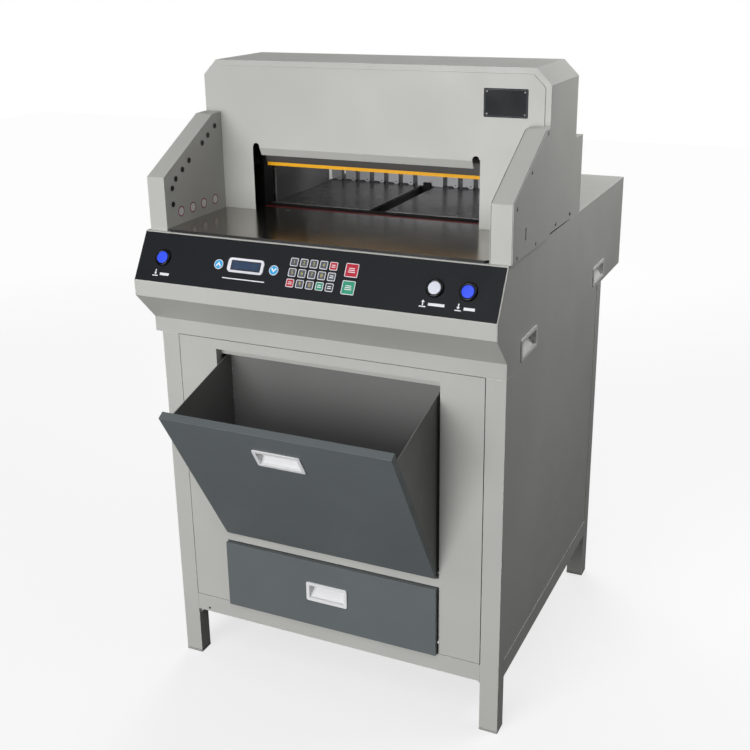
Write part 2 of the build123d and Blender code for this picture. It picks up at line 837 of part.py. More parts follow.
# Casting below the table, drawn with all above from the top of the upper body
casting_top = (-casting_plate, 0)
base_floor = body_sheet - body_top
channel_floor = -channel_depth
screw_z = -screw_depth
pull_rod_bottom = base_floor + pull_rod_base_gap
rod_x = (-pull_rod_x - pull_rod_width / 2, -pull_rod_x + pull_rod_width / 2)
beam_front = knife_front - knife_beam_depth
rod_y = (beam_front + pull_rod_inset, knife_front - pull_rod_inset)
rod_slot_x = (rod_x[0] - well_clearance, rod_x[1] + knife_shift + well_clearance)
rod_slot_y = (rod_y[0] - well_clearance, rod_y[1] + well_clearance)
channel_x = (-gauge_slot_left - channel_wall, -gauge_slot_right + channel_wall)
channel_y = (rear_table_front - channel_wall, casting_back)
slot_x = (-gauge_slot_left, -gauge_slot_right)
slot_y = (rear_table_front, casting_back - channel_wall)
casting = box(casting_x, (deck_front, casting_back), casting_top)
for x in (casting_x[0], casting_x[1] - casting_wall):
    wall = box((x, x + casting_wall), (deck_front, casting_wall_end), (base_floor, casting_top[0]))
    window = box((x - overrun, x + casting_wall + overrun),
                 (deck_front + casting_window_margin, casting_wall_end - casting_window_margin),
                 (base_floor + casting_window_margin, casting_top[0] - casting_window_margin))
    casting += wall - chamfer(window.edges().filter_by(Axis.X), casting_window_corner)
for y in casting_rib_y:
    rib_z = (casting_top[0] - casting_rib_depth, casting_top[0])
    casting += box(casting_x, (y, y + casting_rib_thickness), rib_z)
casting += box(channel_x, channel_y, (channel_floor, casting_top[0]))
casting += box((-cut_left, -cut_right), (front_table_back + stick_gap * 2 + stick_depth, strip_back),
               (0, table_thickness - strip_drop))
casting -= box(slot_x, slot_y, (channel_floor + channel_wall, table_thickness + overrun))
screw_x = -(gauge_slot_left + gauge_slot_right) / 2
casting -= rod((screw_x, channel_y[0] - overrun, screw_z), (0, 1, 0), journal_radius + running_clearance,
               casting_back - channel_y[0] + overrun * 2)
casting -= box(rod_slot_x, rod_slot_y, (casting_top[0] - casting_rib_depth - overrun, overrun))
for x in ((casting_x[0] - overrun, deck_mouth_x[0]), (deck_mouth_x[1], casting_x[1] + overrun)):
    casting -= box(x, (cover_front, casting_back + overrun), (-body_sheet, overrun))
stick_y = (front_table_back + stick_gap, front_table_back + stick_gap + stick_depth)
stick_x = (-cut_left, -cut_right)
stick_seat = box(stick_x, stick_y, (-stick_sink, table_thickness + overrun))
save_on_deck("table_base", casting - stick_seat)

# Table plates and the cutting stick
table_z = (0, table_thickness)
table_top = table_thickness
front_table = upward(outline(
    (-front_table_left, front_table_back), (-front_table_left, front_table_front + front_table_chamfer),
    (-front_table_left + front_table_chamfer, front_table_front),
    (-front_table_right - front_table_chamfer, front_table_front),
    (-front_table_right, front_table_front + front_table_chamfer),
    (-front_table_right, front_table_back)), table_z)
front_table -= box(rod_slot_x, (rod_slot_y[0], front_table_back + overrun),
                   (-overrun, table_top + overrun))
save_on_deck("front_table", front_table)
save_on_deck("cutting_stick", box(stick_x, stick_y, (-stick_sink, table_top)))
rear_table_y = (rear_table_front, rear_table_back)
save_on_deck("rear_table_left", box((-rear_table_left_edge, slot_x[0]), rear_table_y, table_z))
save_on_deck("rear_table_right", box((slot_x[1], -rear_table_right_edge), rear_table_y, table_z))
gauge_top = table_top + side_gauge_height
gauge_face = outline(
    (side_gauge_front, table_top), (side_gauge_front, gauge_top - side_gauge_chamfer),
    (side_gauge_front + side_gauge_chamfer, gauge_top), (side_gauge_back - side_gauge_chamfer, gauge_top),
    (side_gauge_back, gauge_top - side_gauge_chamfer), (side_gauge_back, table_top))
save_on_deck("side_gauges",
             across(gauge_face, (-rear_table_left_edge, -rear_table_left_edge + side_gauge_thickness)),
             across(gauge_face, (-rear_table_right_edge - side_gauge_thickness, -rear_table_right_edge)))

# Back gauge: comb, carriage, screw and motor
comb_left = -rear_table_left_edge + side_gauge_thickness + comb_side_gap
comb_right = -rear_table_right_edge - side_gauge_thickness - comb_side_gap
comb_bottom = table_top + comb_lift
comb_top = comb_bottom + comb_height
finger_y = (comb_y, comb_y + comb_finger_depth)
comb_back = comb_y + comb_depth
comb = box((comb_left, comb_right), (finger_y[1], comb_back), (comb_bottom + comb_beam_lift, comb_top))
finger_left = comb_left
while finger_left < comb_right - comb_tab:
    finger_right = min(finger_left + comb_finger, comb_right)
    comb += box((finger_left, finger_right), (comb_y, finger_y[1]), (comb_bottom + comb_tab_height, comb_top))
    comb += box((finger_right - comb_tab, finger_right), (comb_y, finger_y[1]), (comb_bottom, comb_top))
    finger_left += comb_pitch
block_bottom = comb_bottom + comb_block_lift
carriage_x = (slot_x[0] + slide_clearance, slot_x[1] - slide_clearance)
comb -= box(carriage_x, (comb_y - overrun, comb_back + overrun), (comb_bottom - overrun, block_bottom))
comb += box((-comb_block_left, -comb_block_right), (comb_y, comb_back), (block_bottom, comb_top))
save_on_deck("gauge_comb", comb)
carriage_foot = channel_floor + channel_wall + slide_clearance
carriage = box(carriage_x, (comb_y, comb_back), (carriage_foot, block_bottom))
carriage += box((screw_x - carriage_nub_width / 2, screw_x + carriage_nub_width / 2),
                (comb_y - carriage_nub, comb_y), (0, table_thickness + carriage_nub_height))
carriage -= rod((screw_x, comb_y - overrun, screw_z), (0, 1, 0), screw_radius + running_clearance,
                comb_depth + overrun * 2)
save_on_deck("gauge_carriage", carriage)
screw_face = outline(
    (0, channel_y[0]), (journal_radius, channel_y[0]), (journal_radius, slot_y[0] + screw_shoulder_gap),
    (screw_radius, slot_y[0] + screw_shoulder_gap), (screw_radius, slot_y[1] - screw_shoulder_gap),
    (journal_radius, slot_y[1] - screw_shoulder_gap), (journal_radius, casting_back), (0, casting_back))
save_on_deck("gauge_screw", Pos(screw_x, 0, screw_z) * revolve(screw_face, Axis.Y))
motor_half = gauge_motor_size / 2
gauge_motor = box((screw_x - motor_half, screw_x + motor_half),
                  (channel_y[0] - gauge_motor_length, channel_y[0]),
                  (screw_z - motor_half, screw_z + motor_half))
save_on_deck("gauge_motor", chamfer(gauge_motor.edges().filter_by(Axis.Y), gauge_motor_corner))

# Press frame with a slanted slot on each side
frame_y = (frame_front, frame_front + frame_depth)
frame_face = outline(
    (-frame_left, 0), (-frame_left, frame_top), (-frame_gap_left, frame_top),
    (-frame_gap_left, bridge_top), (-frame_gap_right, bridge_top), (-frame_gap_right, frame_top),
    (-frame_right, frame_top),
    (-frame_right, 0), (-frame_gap_right, 0), (-frame_gap_right, bridge_bottom),
    (-frame_gap_left, bridge_bottom), (-frame_gap_left, 0))
press_frame = along(frame_face, frame_y)
inner_corners = press_frame.edges().filter_by(Axis.Y).filter_by(
    lambda edge: edge.center().Z == bridge_bottom or edge.center().Z == bridge_top)
press_frame = chamfer(inner_corners, frame_corner)
slot_turn = degrees(atan2(knife_shift, knife_drop))
guide_travel = hypot(knife_shift, knife_drop)
slot_width = (guide_pin_radius + slide_clearance) * 2
for x in guide_x:
    slot_face = Rot(0, 0, 90 + slot_turn) * SlotCenterToCenter(guide_travel, slot_width)
    slot_middle = Pos(-x + knife_shift / 2, guide_z - knife_drop / 2)
    press_frame -= along(slot_middle * slot_face, (frame_y[0] - overrun, frame_y[1] + overrun))
for x in clamp_screw_x:
    press_frame -= rod((-x, clamp_front + clamp_depth / 2, bridge_bottom - overrun), (0, 0, 1),
                       clamp_screw_radius + running_clearance, bridge_top - bridge_bottom + overrun * 2)
save_on_deck("press_frame", press_frame)

# Knife beam with its guide pins and pull rod, and the blade
beam_z = (knife_beam_bottom, knife_beam_top)
knife_beam = box((-knife_beam_left, -knife_beam_right), (beam_front, knife_front), beam_z)
knife_beam = chamfer(knife_beam.edges().filter_by(Axis.Y), knife_beam_chamfer)
for x in guide_x:
    knife_beam += rod((-x, knife_front, guide_z), (0, 1, 0), guide_pin_radius, guide_pin_length)
knife_beam += box(rod_x, rod_y, (pull_rod_bottom, knife_beam_bottom + overrun))
save_on_deck("knife_beam", knife_beam)
blade_y = (knife_front, knife_front + knife_thickness)
blade_face = outline(
    (blade_y[0], knife_edge + knife_bevel), (blade_y[0], knife_edge + knife_height),
    (blade_y[1], knife_edge + knife_height), (blade_y[1], knife_edge), (blade_y[1] - knife_land, knife_edge))
blade = across(blade_face, (-clamp_left, -clamp_right))
bolt_step = (clamp_left - clamp_right) / knife_bolts
bolt_first = -clamp_left + bolt_step / 2
bolt_z = (knife_beam_bottom + knife_edge + knife_height) / 2
bolts = []
for number in range(knife_bolts):
    bolt_place = Plane(origin=(bolt_first + bolt_step * number, beam_front, bolt_z), z_dir=(0, -1, 0))
    bolts.append(bolt_place * hexagon(knife_bolt_radius, knife_bolt_head))
save_on_deck("knife_blade", blade, *bolts)

# Clamp beam on two screws, its strip and its drive
clamp_x = (-clamp_left, -clamp_right)
clamp_y = (clamp_front, clamp_front + clamp_depth)
clamp_top = clamp_bottom + clamp_height
clamp_beam = box(clamp_x, clamp_y, (clamp_bottom, clamp_top))
clamp_beam -= box((clamp_x[0] - overrun, clamp_x[1] + overrun),
                  (clamp_front - overrun, clamp_front + clamp_rebate),
                  (clamp_bottom + clamp_height * clamp_rebate_share, clamp_top + overrun))
for x in clamp_screw_x:
    clamp_beam += rod((-x, clamp_front + clamp_depth / 2, clamp_bottom + clamp_height / 2), (0, 0, 1),
                      clamp_screw_radius, clamp_screw_top - clamp_bottom - clamp_height / 2)
save_on_deck("clamp_beam", clamp_beam)
strip_bottom = clamp_bottom - strip_thickness
strip_front = clamp_front - strip_thickness
clamp_strip = box(clamp_x, (strip_front, clamp_front), (strip_bottom, strip_bottom + strip_height))
clamp_strip += box(clamp_x, (strip_front, clamp_y[1]), (strip_bottom, clamp_bottom))
save_on_deck("clamp_strip", clamp_strip)
drive_x = (-clamp_screw_x[0] - clamp_drive_margin, -clamp_screw_x[1] + clamp_drive_margin)
drive_z = (bridge_top, bridge_top + clamp_drive_height)
clamp_drive = chamfer(box(drive_x, frame_y, drive_z).edges().filter_by(Axis.Y), clamp_drive_chamfer)
clamp_motor_place = ((drive_x[0] + drive_x[1]) / 2, frame_y[1], bridge_top + clamp_drive_height / 2)
clamp_drive += rod(clamp_motor_place, (0, 1, 0), clamp_motor_radius, clamp_motor_length)
for x in clamp_screw_x:
    clamp_drive -= rod((-x, clamp_front + clamp_depth / 2, bridge_top - overrun), (0, 0, 1),
                       clamp_screw_radius + running_clearance, clamp_drive_height + overrun * 2)
save_on_deck("clamp_drive", clamp_drive)

# Main drive: a closed gear housing with a well for the pull rod, and a finned motor
housing_y = (drive_front, drive_front + drive_depth)
drive_top = base_floor + drive_height
drive = box((-drive_left, -drive_right), housing_y, (base_floor, drive_top))
drive = chamfer(drive.edges().filter_by(Axis.Y).group_by(Axis.Z)[-1], drive_chamfer)
drive -= box(rod_slot_x, rod_slot_y, (pull_rod_bottom - knife_drop - well_clearance, drive_top + overrun))
motor_z = base_floor + drive_motor_radius + drive_fin
motor_start = -drive_left - drive_motor_length
motor_y = drive_front + drive_depth / 2
drive += rod((motor_start, motor_y, motor_z), (1, 0, 0), drive_motor_radius, drive_motor_length)
motor_place = Pos(motor_start + drive_motor_length / 2, motor_y, motor_z)
fin_width = (drive_motor_radius + drive_fin) * 2
for number in range(drive_fin_pairs):
    turn = Rot(180 * number / drive_fin_pairs, 0, 0)
    drive += motor_place * turn * Box(drive_motor_length, fin_width, drive_fin_thickness)
save_on_deck("drive_unit", drive)

# Head covers
head_points = (
    (-head_left, 0), (-head_left, head_top - head_chamfer), (-head_left + head_chamfer, head_top),
    (-head_chamfer, head_top), (0, head_top - head_chamfer), (0, 0))
head_face = outline(*head_points)
corner_inset_share = 1 / cos(radians(45)) - 2


def inset_head(inset):
    """Outline of the head drawn in by a distance, and run on below its foot."""
    corner = head_chamfer + inset * corner_inset_share
    top = head_top - inset
    left = -head_left + inset
    foot = -overrun
    return outline((left, foot), (left, top - corner), (left + corner, top), (-inset - corner, top),
                   (-inset, top - corner), (-inset, foot))


head_shell = along(head_face, (head_front, head_back))
head_shell -= along(inset_head(head_sheet), (head_front - overrun, head_back + overrun))
head_rim = along(head_face, (head_front, head_front + head_sheet))
head_rim -= along(inset_head(head_flange), (head_front - overrun, head_front + head_sheet + overrun))
save_on_deck("head_shell", head_shell + head_rim)

mouth_foot = -overrun
mouth_face = outline(
    (-mouth_left, mouth_foot), (-mouth_left, slot_centre), (-left_slot_x - slot_radius, slot_centre),
    (-left_slot_x + slot_radius, slot_centre), (-left_slot_x + slot_radius, mouth_top),
    (-right_slot_x - slot_radius, mouth_top), (-right_slot_x - slot_radius, slot_centre),
    (-right_slot_x + slot_radius, slot_centre), (-mouth_right, slot_centre), (-mouth_right, mouth_foot))
plate_y = (head_front - plate_thickness, head_front)
head_plate_face = inset_head(plate_inset) & Pos(-head_left / 2, (table_top + head_top) / 2) * Rectangle(
    head_left, head_top - table_top)
head_plate = along(head_plate_face, plate_y)
cut_y = (plate_y[0] - overrun, plate_y[1] + overrun)
head_plate -= along(mouth_face, cut_y)
for x in (left_slot_x, right_slot_x):
    head_plate -= rod((-x, cut_y[0], slot_centre), (0, 1, 0), slot_radius, cut_y[1] - cut_y[0])
lip_x = (-left_slot_x + slot_radius, -right_slot_x - slot_radius)
lip_face = outline((plate_y[0], mouth_top), (plate_y[0] + lip_depth, lip_bottom),
                   (plate_y[1] + lip_depth, lip_bottom), (plate_y[1], mouth_top))
save_on_deck("head_front_plate", head_plate + across(lip_face, lip_x))

back_face = inset_head(head_sheet) & Pos(-head_left / 2, head_top / 2) * Rectangle(head_left, head_top)
rear_plate = along(back_face, (head_back - head_sheet, head_back))
rear_box_z = (0, rear_box_top)
rear_box = box((-head_left, 0), (head_back, rear_box_back), rear_box_z)
rear_box -= box((-head_left + head_sheet, -head_sheet), (head_back + head_sheet, rear_box_back - head_sheet),
                (-overrun, rear_box_top - head_sheet))
rear_mouth = box((-rear_table_left_edge - rear_mouth_gap, -rear_table_right_edge + rear_mouth_gap),
                 (head_back - head_sheet - overrun, rear_box_back + overrun),
                 (-overrun, rear_mouth_top))
save_on_deck("head_rear_cover", (rear_plate + rear_box) - rear_mouth)

# Guards: folded hoods with the holes of the light barrier
guard_face = outline((0, 0), (0, guard_low_top), (guard_slope_y, guard_slope_top),
                     (guard_back, guard_top), (guard_back, 0))
guard_space = offset(guard_face, amount=-sheet, kind=Kind.INTERSECTION)
guards = {
    "left_guard": (-left_guard_outer, -left_guard_inner),
    "right_guard": (-right_guard_inner, -right_guard_outer),
}
for name, x in guards.items():
    space_x = (x[0] + sheet, x[1] - sheet)
    guard = across(guard_face, x)
    guard -= across(guard_space, space_x)
    guard -= across(Pos(0, -overrun) * guard_space, space_x)
    inner_x = x[1] - sheet if name == "left_guard" else x[0] + sheet
    outward = 1 if name == "left_guard" else -1
    for y, z in sensor_row:
        guard -= rod((inner_x - outward * overrun, y, z), (outward, 0, 0), sensor_radius, overrun * 3)
    if name == "right_guard":
        latch_range = (latch_y - latch_width / 2, latch_y + latch_width / 2)
        guard -= box((x[1] - overrun, x[1] + overrun), latch_range, latch_z)
    save_on_deck(name, guard)

whole = Compound(list(written.values())).bounding_box()
print("nodes", len(written))
print("box", whole.min, whole.max)
print("shift", centre_shift.position)
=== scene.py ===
"""Programmable paper cutter: finishes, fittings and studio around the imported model."""
import json
from math import cos, pi, radians, sin

import bmesh
import bpy
from bpy.props import FloatProperty, FloatVectorProperty, PointerProperty
from mathutils import Matrix, Vector

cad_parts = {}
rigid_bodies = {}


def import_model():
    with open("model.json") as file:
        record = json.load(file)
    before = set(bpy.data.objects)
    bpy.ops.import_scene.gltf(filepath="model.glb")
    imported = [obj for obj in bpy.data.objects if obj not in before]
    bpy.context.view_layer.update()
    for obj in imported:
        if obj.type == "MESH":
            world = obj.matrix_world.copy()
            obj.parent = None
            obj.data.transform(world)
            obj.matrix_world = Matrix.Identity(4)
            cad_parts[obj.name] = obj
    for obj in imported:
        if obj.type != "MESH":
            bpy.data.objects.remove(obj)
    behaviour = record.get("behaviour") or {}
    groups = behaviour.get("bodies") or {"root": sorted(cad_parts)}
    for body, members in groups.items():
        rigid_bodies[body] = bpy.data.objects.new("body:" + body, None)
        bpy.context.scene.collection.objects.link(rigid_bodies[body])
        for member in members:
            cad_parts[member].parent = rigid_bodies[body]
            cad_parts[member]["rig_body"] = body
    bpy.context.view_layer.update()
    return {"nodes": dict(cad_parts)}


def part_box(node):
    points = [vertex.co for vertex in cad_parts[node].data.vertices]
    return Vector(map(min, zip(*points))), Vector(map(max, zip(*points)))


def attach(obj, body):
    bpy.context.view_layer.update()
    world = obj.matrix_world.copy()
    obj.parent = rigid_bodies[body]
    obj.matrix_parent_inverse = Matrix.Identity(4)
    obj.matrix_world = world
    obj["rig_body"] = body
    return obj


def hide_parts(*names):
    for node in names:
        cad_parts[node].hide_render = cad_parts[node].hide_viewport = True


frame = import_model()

bl_info = {
    "name": "Programmable Paper Cutter",
    "version": (1, 0, 0),
    "blender": (4, 5, 0),
    "location": "View3D > Sidebar > Paper Cutter",
    "description": "Dresses the packed paper cutter with finishes, fittings and a studio",
    "category": "Object",
}

MM = 0.001
UP = Vector((0, 0, 1))
FRONT = Vector((0, -1, 0))
RIGHT = Vector((1, 0, 0))

# Stage, in metres, watts and degrees; a lamp has its name, place, aim, side and power
FLOOR_FADE = (0.7, 3.4)
SKY_TINT = (0.96, 0.98, 1.0, 1)
SKY_STRENGTH = (0.035, 0.24)
LAMPS = (
    ("key_light", (-0.85, -4.2, 1.1), (0, 0, 0.65), 2.4, 135),
    ("front_light", (0.1, -2.5, 3.2), (0, -0.2, 0.9), 1.6, 23),
    ("right_light", (1.2, 0.45, 1.75), (0.3, 0, 0.85), 0.8, 11),
    ("top_light", (-0.7, 1.3, 2.2), (0, 0.1, 1.2), 1.0, 16),
    ("back_light", (-0.8, 3.4, 1.0), (0, 0.5, 0.7), 1.8, 34),
)
UNSEEN_LAMPS = ("top_light", "back_light")
CAMERA_PLACE = Vector((0.9182, -2.0571, 1.4439))
CAMERA_YAW = 25.26
CAMERA_PITCH = 19.26
CAMERA_ROLL = -0.946
CAMERA_LENS = 53.32
CAMERA_SENSOR = 36
CAMERA_SHIFT = (0.01017, -0.03984)
CAMERA_REACH = 60

# Front right corner of the stand on the floor; places are in mm to its right, behind it and above it
CORNER = Vector((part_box("front_right_leg")[1].x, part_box("front_right_leg")[0].y, 0))
# Angle past which an edge is rounded, in degrees, and the share of the usual rounding on close fits
SHARP_EDGE = 25.0
FINE_EDGE = 0.6

# Stand; the legs' rounding is a multiple of the sheet's edge
GLIDE_HEIGHT = 5
LEG_ROUNDING = 2.4
# The black strip in the front panel's right gap and the dark disc on the lower rail are painted shade
GAP_SHADE_DEPTHS = (-8, -0.4)
RAIL_HOLE = (-654, 120)
RAIL_HOLE_PROFILE = ((0, 0.02), (1.7, 0.02), (1.7, 0.12), (2.3, 0.1), (2.5, 0))

# Console: distances along the slope and heights off it
SLOPE_FOOT = Vector((0, -57, 863))
SLOPE_UP = Vector((0, 0.51304, 0.85836))
SLOPE_OUT = Vector((0, -0.85836, 0.51304))
OVERLAY = 0.8
PRINT_TOP = OVERLAY + 0.12
OVERLAY_EDGE = 0.2
BUTTONS = (
    ("left_cut_button", -680.6, "left_button", "blue_button"),
    ("clamp_button", -121.9, "middle_button", "white_button"),
    ("right_cut_button", -61.1, "right_button", "blue_button"),
)
BUTTON_SLOPE = 50
COLLAR_PROFILE = ((11.9, 0), (16.6, 0), (16.6, 2.8), (16.1, 4.3), (15.0, 5.3), (13.9, 5.6), (13, 5.4),
                  (12.2, 4.9), (11.9, 4.2), (11.9, 0))
SWITCH_PROFILE = ((0, -30), (14, -30), (14, -2.2), (0, -2.2))
CAP_PROFILE = ((0, -14.7), (5.5, -14.7), (5.5, 3.25), (11.6, 3.25), (11.6, 4.6), (11.35, 5.2),
               (10.7, 5.6), (9.4, 5.8), (5, 5.85), (0, 5.85))
KEYPAD = ("print_white", "key_slate", "key_red", "key_green", "key_dark", "print_yellow", "arrow_cyan")
KEY_LOOKS = {"r": "key_red", "g": "key_green", "w": "key_dark"}
KEY_FIRST = (-400, 29.5)
KEY_PITCH = (19.95, 19.85)
KEY_ROWS = ("r90gw", "5678b", "1234r")
KEY_SIZE = 15.5
KEY_TOP = 1.8
KEY_CORNER = 2.2
KEY_ROLL = 0.25
KEY_BORDER = 1.0
KEY_SINK = 0.2
NUMBER_SIZE = 9.5
NUMBER_LIFT = 1.66
NUMBER_DEPTH = 0.05
LARGE_KEYS = ((33.1, "g"), (65.2, "r"))
LARGE_KEY_X = -283.5
LARGE_KEY_SIZE = 25.5
# Width of the lowest bar and number of bars
KEY_BARS = (8.0, 2)
LARGE_KEY_BARS = (14.0, 3)
BAR_PITCH = 3.4
BAR_STEP = 1.5
BAR_WIDTH = 1.5
BAR_HEIGHTS = (1.55, 1.68)
ARROWS = ((-556, 1), (-438.4, -1))
ARROW_SLOPE = 49.5
ARROW_PROFILE = ((0, 0.8), (9.5, 0.8), (9.5, 1.5), (9.2, 1.75), (8.4, 1.75), (8.2, 1.6), (0, 1.6))
ARROW_RIM = 8.25
CHEVRON = ((-4.6, -2.4), (-3.0, -3.8), (0, -0.4), (3.0, -3.8), (4.6, -2.4), (0, 3.4))
CHEVRON_SCALE = 1.25
CHEVRON_LIFT = 0.3
CHEVRON_HEIGHTS = (1.6, 1.72)
DISPLAY_X = -497.7
DISPLAY_SLOPE = 51
DISPLAY_FRAME = (76.5, 28)
DISPLAY_TOP = 3.2
DISPLAY_CORNER = 7.5
DISPLAY_ROLL = 0.8
DISPLAY_BORDER = 3.6
DISPLAY_SINK = 1.2
# Width, height, two faces off the console and corner
DISPLAY_SURROUND = (63, 19, 2.0, 2.15, 1.2)
DISPLAY_WINDOW = (57, 14, 2.15, 2.25, 0.6)
# Distance up the slope, width and height
DISPLAY_LINE = (25, 90, 2)
# Each sign: its place on the console, whether its arrow points down, and its bar's shift and width
SIGNS = ((-690, 20, True, (20, -2), 20), (-74, 22, True, (20, -2), 20), (-139, 22, False, (25, -1), 30))
SIGN_ARROW = ((-1, 6), (-1, 0), (-3.4, 0), (0, -4), (3.4, 0), (1, 0), (1, 6))
SIGN_MIRROR = 2
SIGN_FOOT = (-6, 12, 2)
SIGN_BAR_HEIGHT = 5

# Bin: the side that each corner's welds lie towards, and its place from the right
WELD_CORNERS = ((1, -587.6), (-1, -132.4))
WELD_BACK = 42.2
WELD_INSET = 0.4
WELD_TOP = 688
WELD_PITCH = 17
WELD_COUNT = 13

# Head and guards
SENSORS = ((188, 1126.5), (161, 1111.5), (139, 1099), (89, 1072.6),
           (64, 1058.8), (39.6, 1044.8), (26, 1028.6), (25.4, 997.6))
SENSOR_SINK = 1.6
LENS_PROFILE = ((0, -6), (4.55, -6), (4.55, 1.65), (5.5, 1.65), (5.5, 2.1), (5.2, 2.4), (4.3, 2.4),
                (3.8, 1.2), (0, 1.6))
CHEEK_DISCS = (51, 92, 132, 174)
DISC_HEIGHT = 979
DISC_PROFILE = ((0, 0), (10.4, 0), (10.4, 0.15), (8.3, 0.18), (0, 0.18))
DISC_RING = 8.4
SIDE_SCREWS = ((191, 1144), (98, 1091), (19.4, 1042.6), (24.5, 957), (134, 957.6))
HEAD_SCREWS = ((275, 962.6), (374, 962), (221, 1072))
POCKET_RADIUS = 4.0
POCKET_DEPTH = 1.3
# A dark disc under each cover screw paints the shade round its head
SHADE_DISC_RADIUS = POCKET_RADIUS - 0.05
SHADE_DISC_HEIGHTS = (0.1, 0.4)
GUARD_OUTLINE = ((0, 0), (0, 103.5), (181.6, 201))
# The right guard's seam lines are black strips: painted shade
GUARD_SEAM_INSET = 1.4
GUARD_SEAM_WIDTH = 0.8
GUARD_SEAM_GAP = 1.5
GUARD_SEAM_HEIGHTS = (-0.3, 0.1)
# Painted shade: a black strip along the open gap under the head's right foot
DECK_GAP_SHADE = (238, 384)
DECK_GAP_SHADE_HEIGHTS = (-1, 0.25)
PLATE_PLACE = (-84, 1191)
# Each layer of the plate: width, height, its two faces off the head, corner, rolled edge and finish
PLATE_LAYERS = ((84, 52, 0, 0.3, 2, 0.1, 0), (80, 48, 0.3, 0.34, 1.4, 0, 1), (79, 47, 0.34, 0.38, 1.2, 0, 0))
RIVET_PROFILE = ((1.5, 0.38), (1.4, 0.7), (0.8, 0.95), (0, 1.0))
RIVET_X = (-36, 36)
RIVET_Y = (-20, 20)

# Tables, press and back gauge
TABLE_TOP = 955
TABLE_SCREWS = ((-551, 230), (-369, 229), (-189, 228), (-541, 316), (-408, 313), (-344, 314), (-211, 308))
TABLE_SCREW_RADIUS = 3.0
TABLE_SCREW_HEIGHT = 0.4
STICK_EDGE = 0.3
KNIFE_EDGE = 0.2
STRIP_EDGE = 0.3
COMB_PITCH = 36
COMB_PLATE = 25
COMB_PLATES = 14
COMB_MIDDLE = (6, 7)
COMB_PLATE_DEPTH = 14
COMB_DEPTH = 35
COMB_BEAM_LIFT = 22
COMB_FOOT = 3.2
COMB_TAB = 12
COMB_SCREW_LIFT = 5
COMB_SCREW_PROFILE = ((0, -0.4), (2.3, -0.4), (2.2, 0.5), (1.5, 0.5), (1.4, 0.1), (0, 0.1))
COMB_SCREW_SOCKET = 1.45
COMB_NOTCH = 4.2
NECK_WIDTH = 18
NECK_CUTS = (952, 954)
POINTER_WIDTH = 16
POINTER_CAD_WIDTH = 24


def at(x, y, z):
    """Point from millimetres, measured from the stand's front right corner."""
    return CORNER + Vector((x, y, z)) * MM


def facing(point, out, up=UP):
    """Placing matrix whose Z runs out of a surface, with Y as near up as it can be."""
    z = out.normalized()
    x = up.cross(z).normalized()
    y = z.cross(x)
    turn = Matrix((x, y, z)).transposed().to_4x4()
    return Matrix.Translation(point) @ turn


def beside(x, y, z):
    """Point in the upright plane x, which is in metres, with y and z as at() takes them."""
    point = at(0, y, z)
    point.x = x
    return point


def moved(place, x, y, z=0):
    """Placing matrix shifted within its own axes, in mm."""
    return place @ Matrix.Translation((x * MM, y * MM, z * MM))


def on_console(x, slope):
    """Placing matrix on the console: x from the right, and distance up the slope."""
    point = SLOPE_FOOT + SLOPE_UP * slope
    return facing(at(x, point.y, point.z), SLOPE_OUT, SLOPE_UP)


# Materials

class Nodes:
    """Short way to write a material's node tree."""

    def __init__(self, name):
        self.material = bpy.data.materials.new(name)
        self.material.use_nodes = True
        self.tree = self.material.node_tree
        self.shader = self.tree.nodes["Principled BSDF"]
        self.place = self.add("ShaderNodeTexCoord").outputs["Object"]

    def add(self, kind, **inputs):
        node = self.tree.nodes.new(kind)
        for name, value in inputs.items():
            self.put(node.inputs[name.replace("_", " ")], value)
        return node

    def put(self, socket, value):
        if isinstance(value, bpy.types.NodeSocket):
            self.tree.links.new(value, socket)
        else:
            socket.default_value = value

    def noise(self, scale, detail=4.0, stretch=(1, 1, 1), roughness=0.55):
        place = self.add("ShaderNodeMapping", Vector=self.place, Scale=stretch).outputs["Vector"]
        node = self.add("ShaderNodeTexNoise", Vector=place, Scale=scale, Detail=detail, Roughness=roughness)
        return node.outputs["Fac"]

    def ramp(self, value, low, high, to_low=0.0, to_high=1.0):
        node = self.add("ShaderNodeMapRange", Value=value, From_Min=low, From_Max=high, To_Min=to_low,
                        To_Max=to_high)
        return node.outputs["Result"]

    def sums(self, kind, first, second):
        node = self.tree.nodes.new("ShaderNodeMath")
        node.operation = kind
        self.put(node.inputs[0], first)
        self.put(node.inputs[1], second)
        return node.outputs[0]

    def mix(self, factor, first, second):
        node = self.tree.nodes.new("ShaderNodeMix")
        node.data_type = "RGBA"
        self.put(node.inputs[0], factor)
        self.put(node.inputs[6], first)
        self.put(node.inputs[7], second)
        return node.outputs[2]

    def bump(self, height, strength, distance):
        node = self.add("ShaderNodeBump", Strength=strength, Distance=distance, Height=height)
        return node.outputs["Normal"]

    def edge(self):
        node = self.tree.nodes.new("ShaderNodeAttribute")
        node.attribute_name = "edge"
        return node.outputs["Fac"]


def shade(colour, amount):
    """Colour made lighter or darker, as a shader takes it."""
    return tuple(min(1.0, part * amount) for part in colour[:3]) + (1.0,)


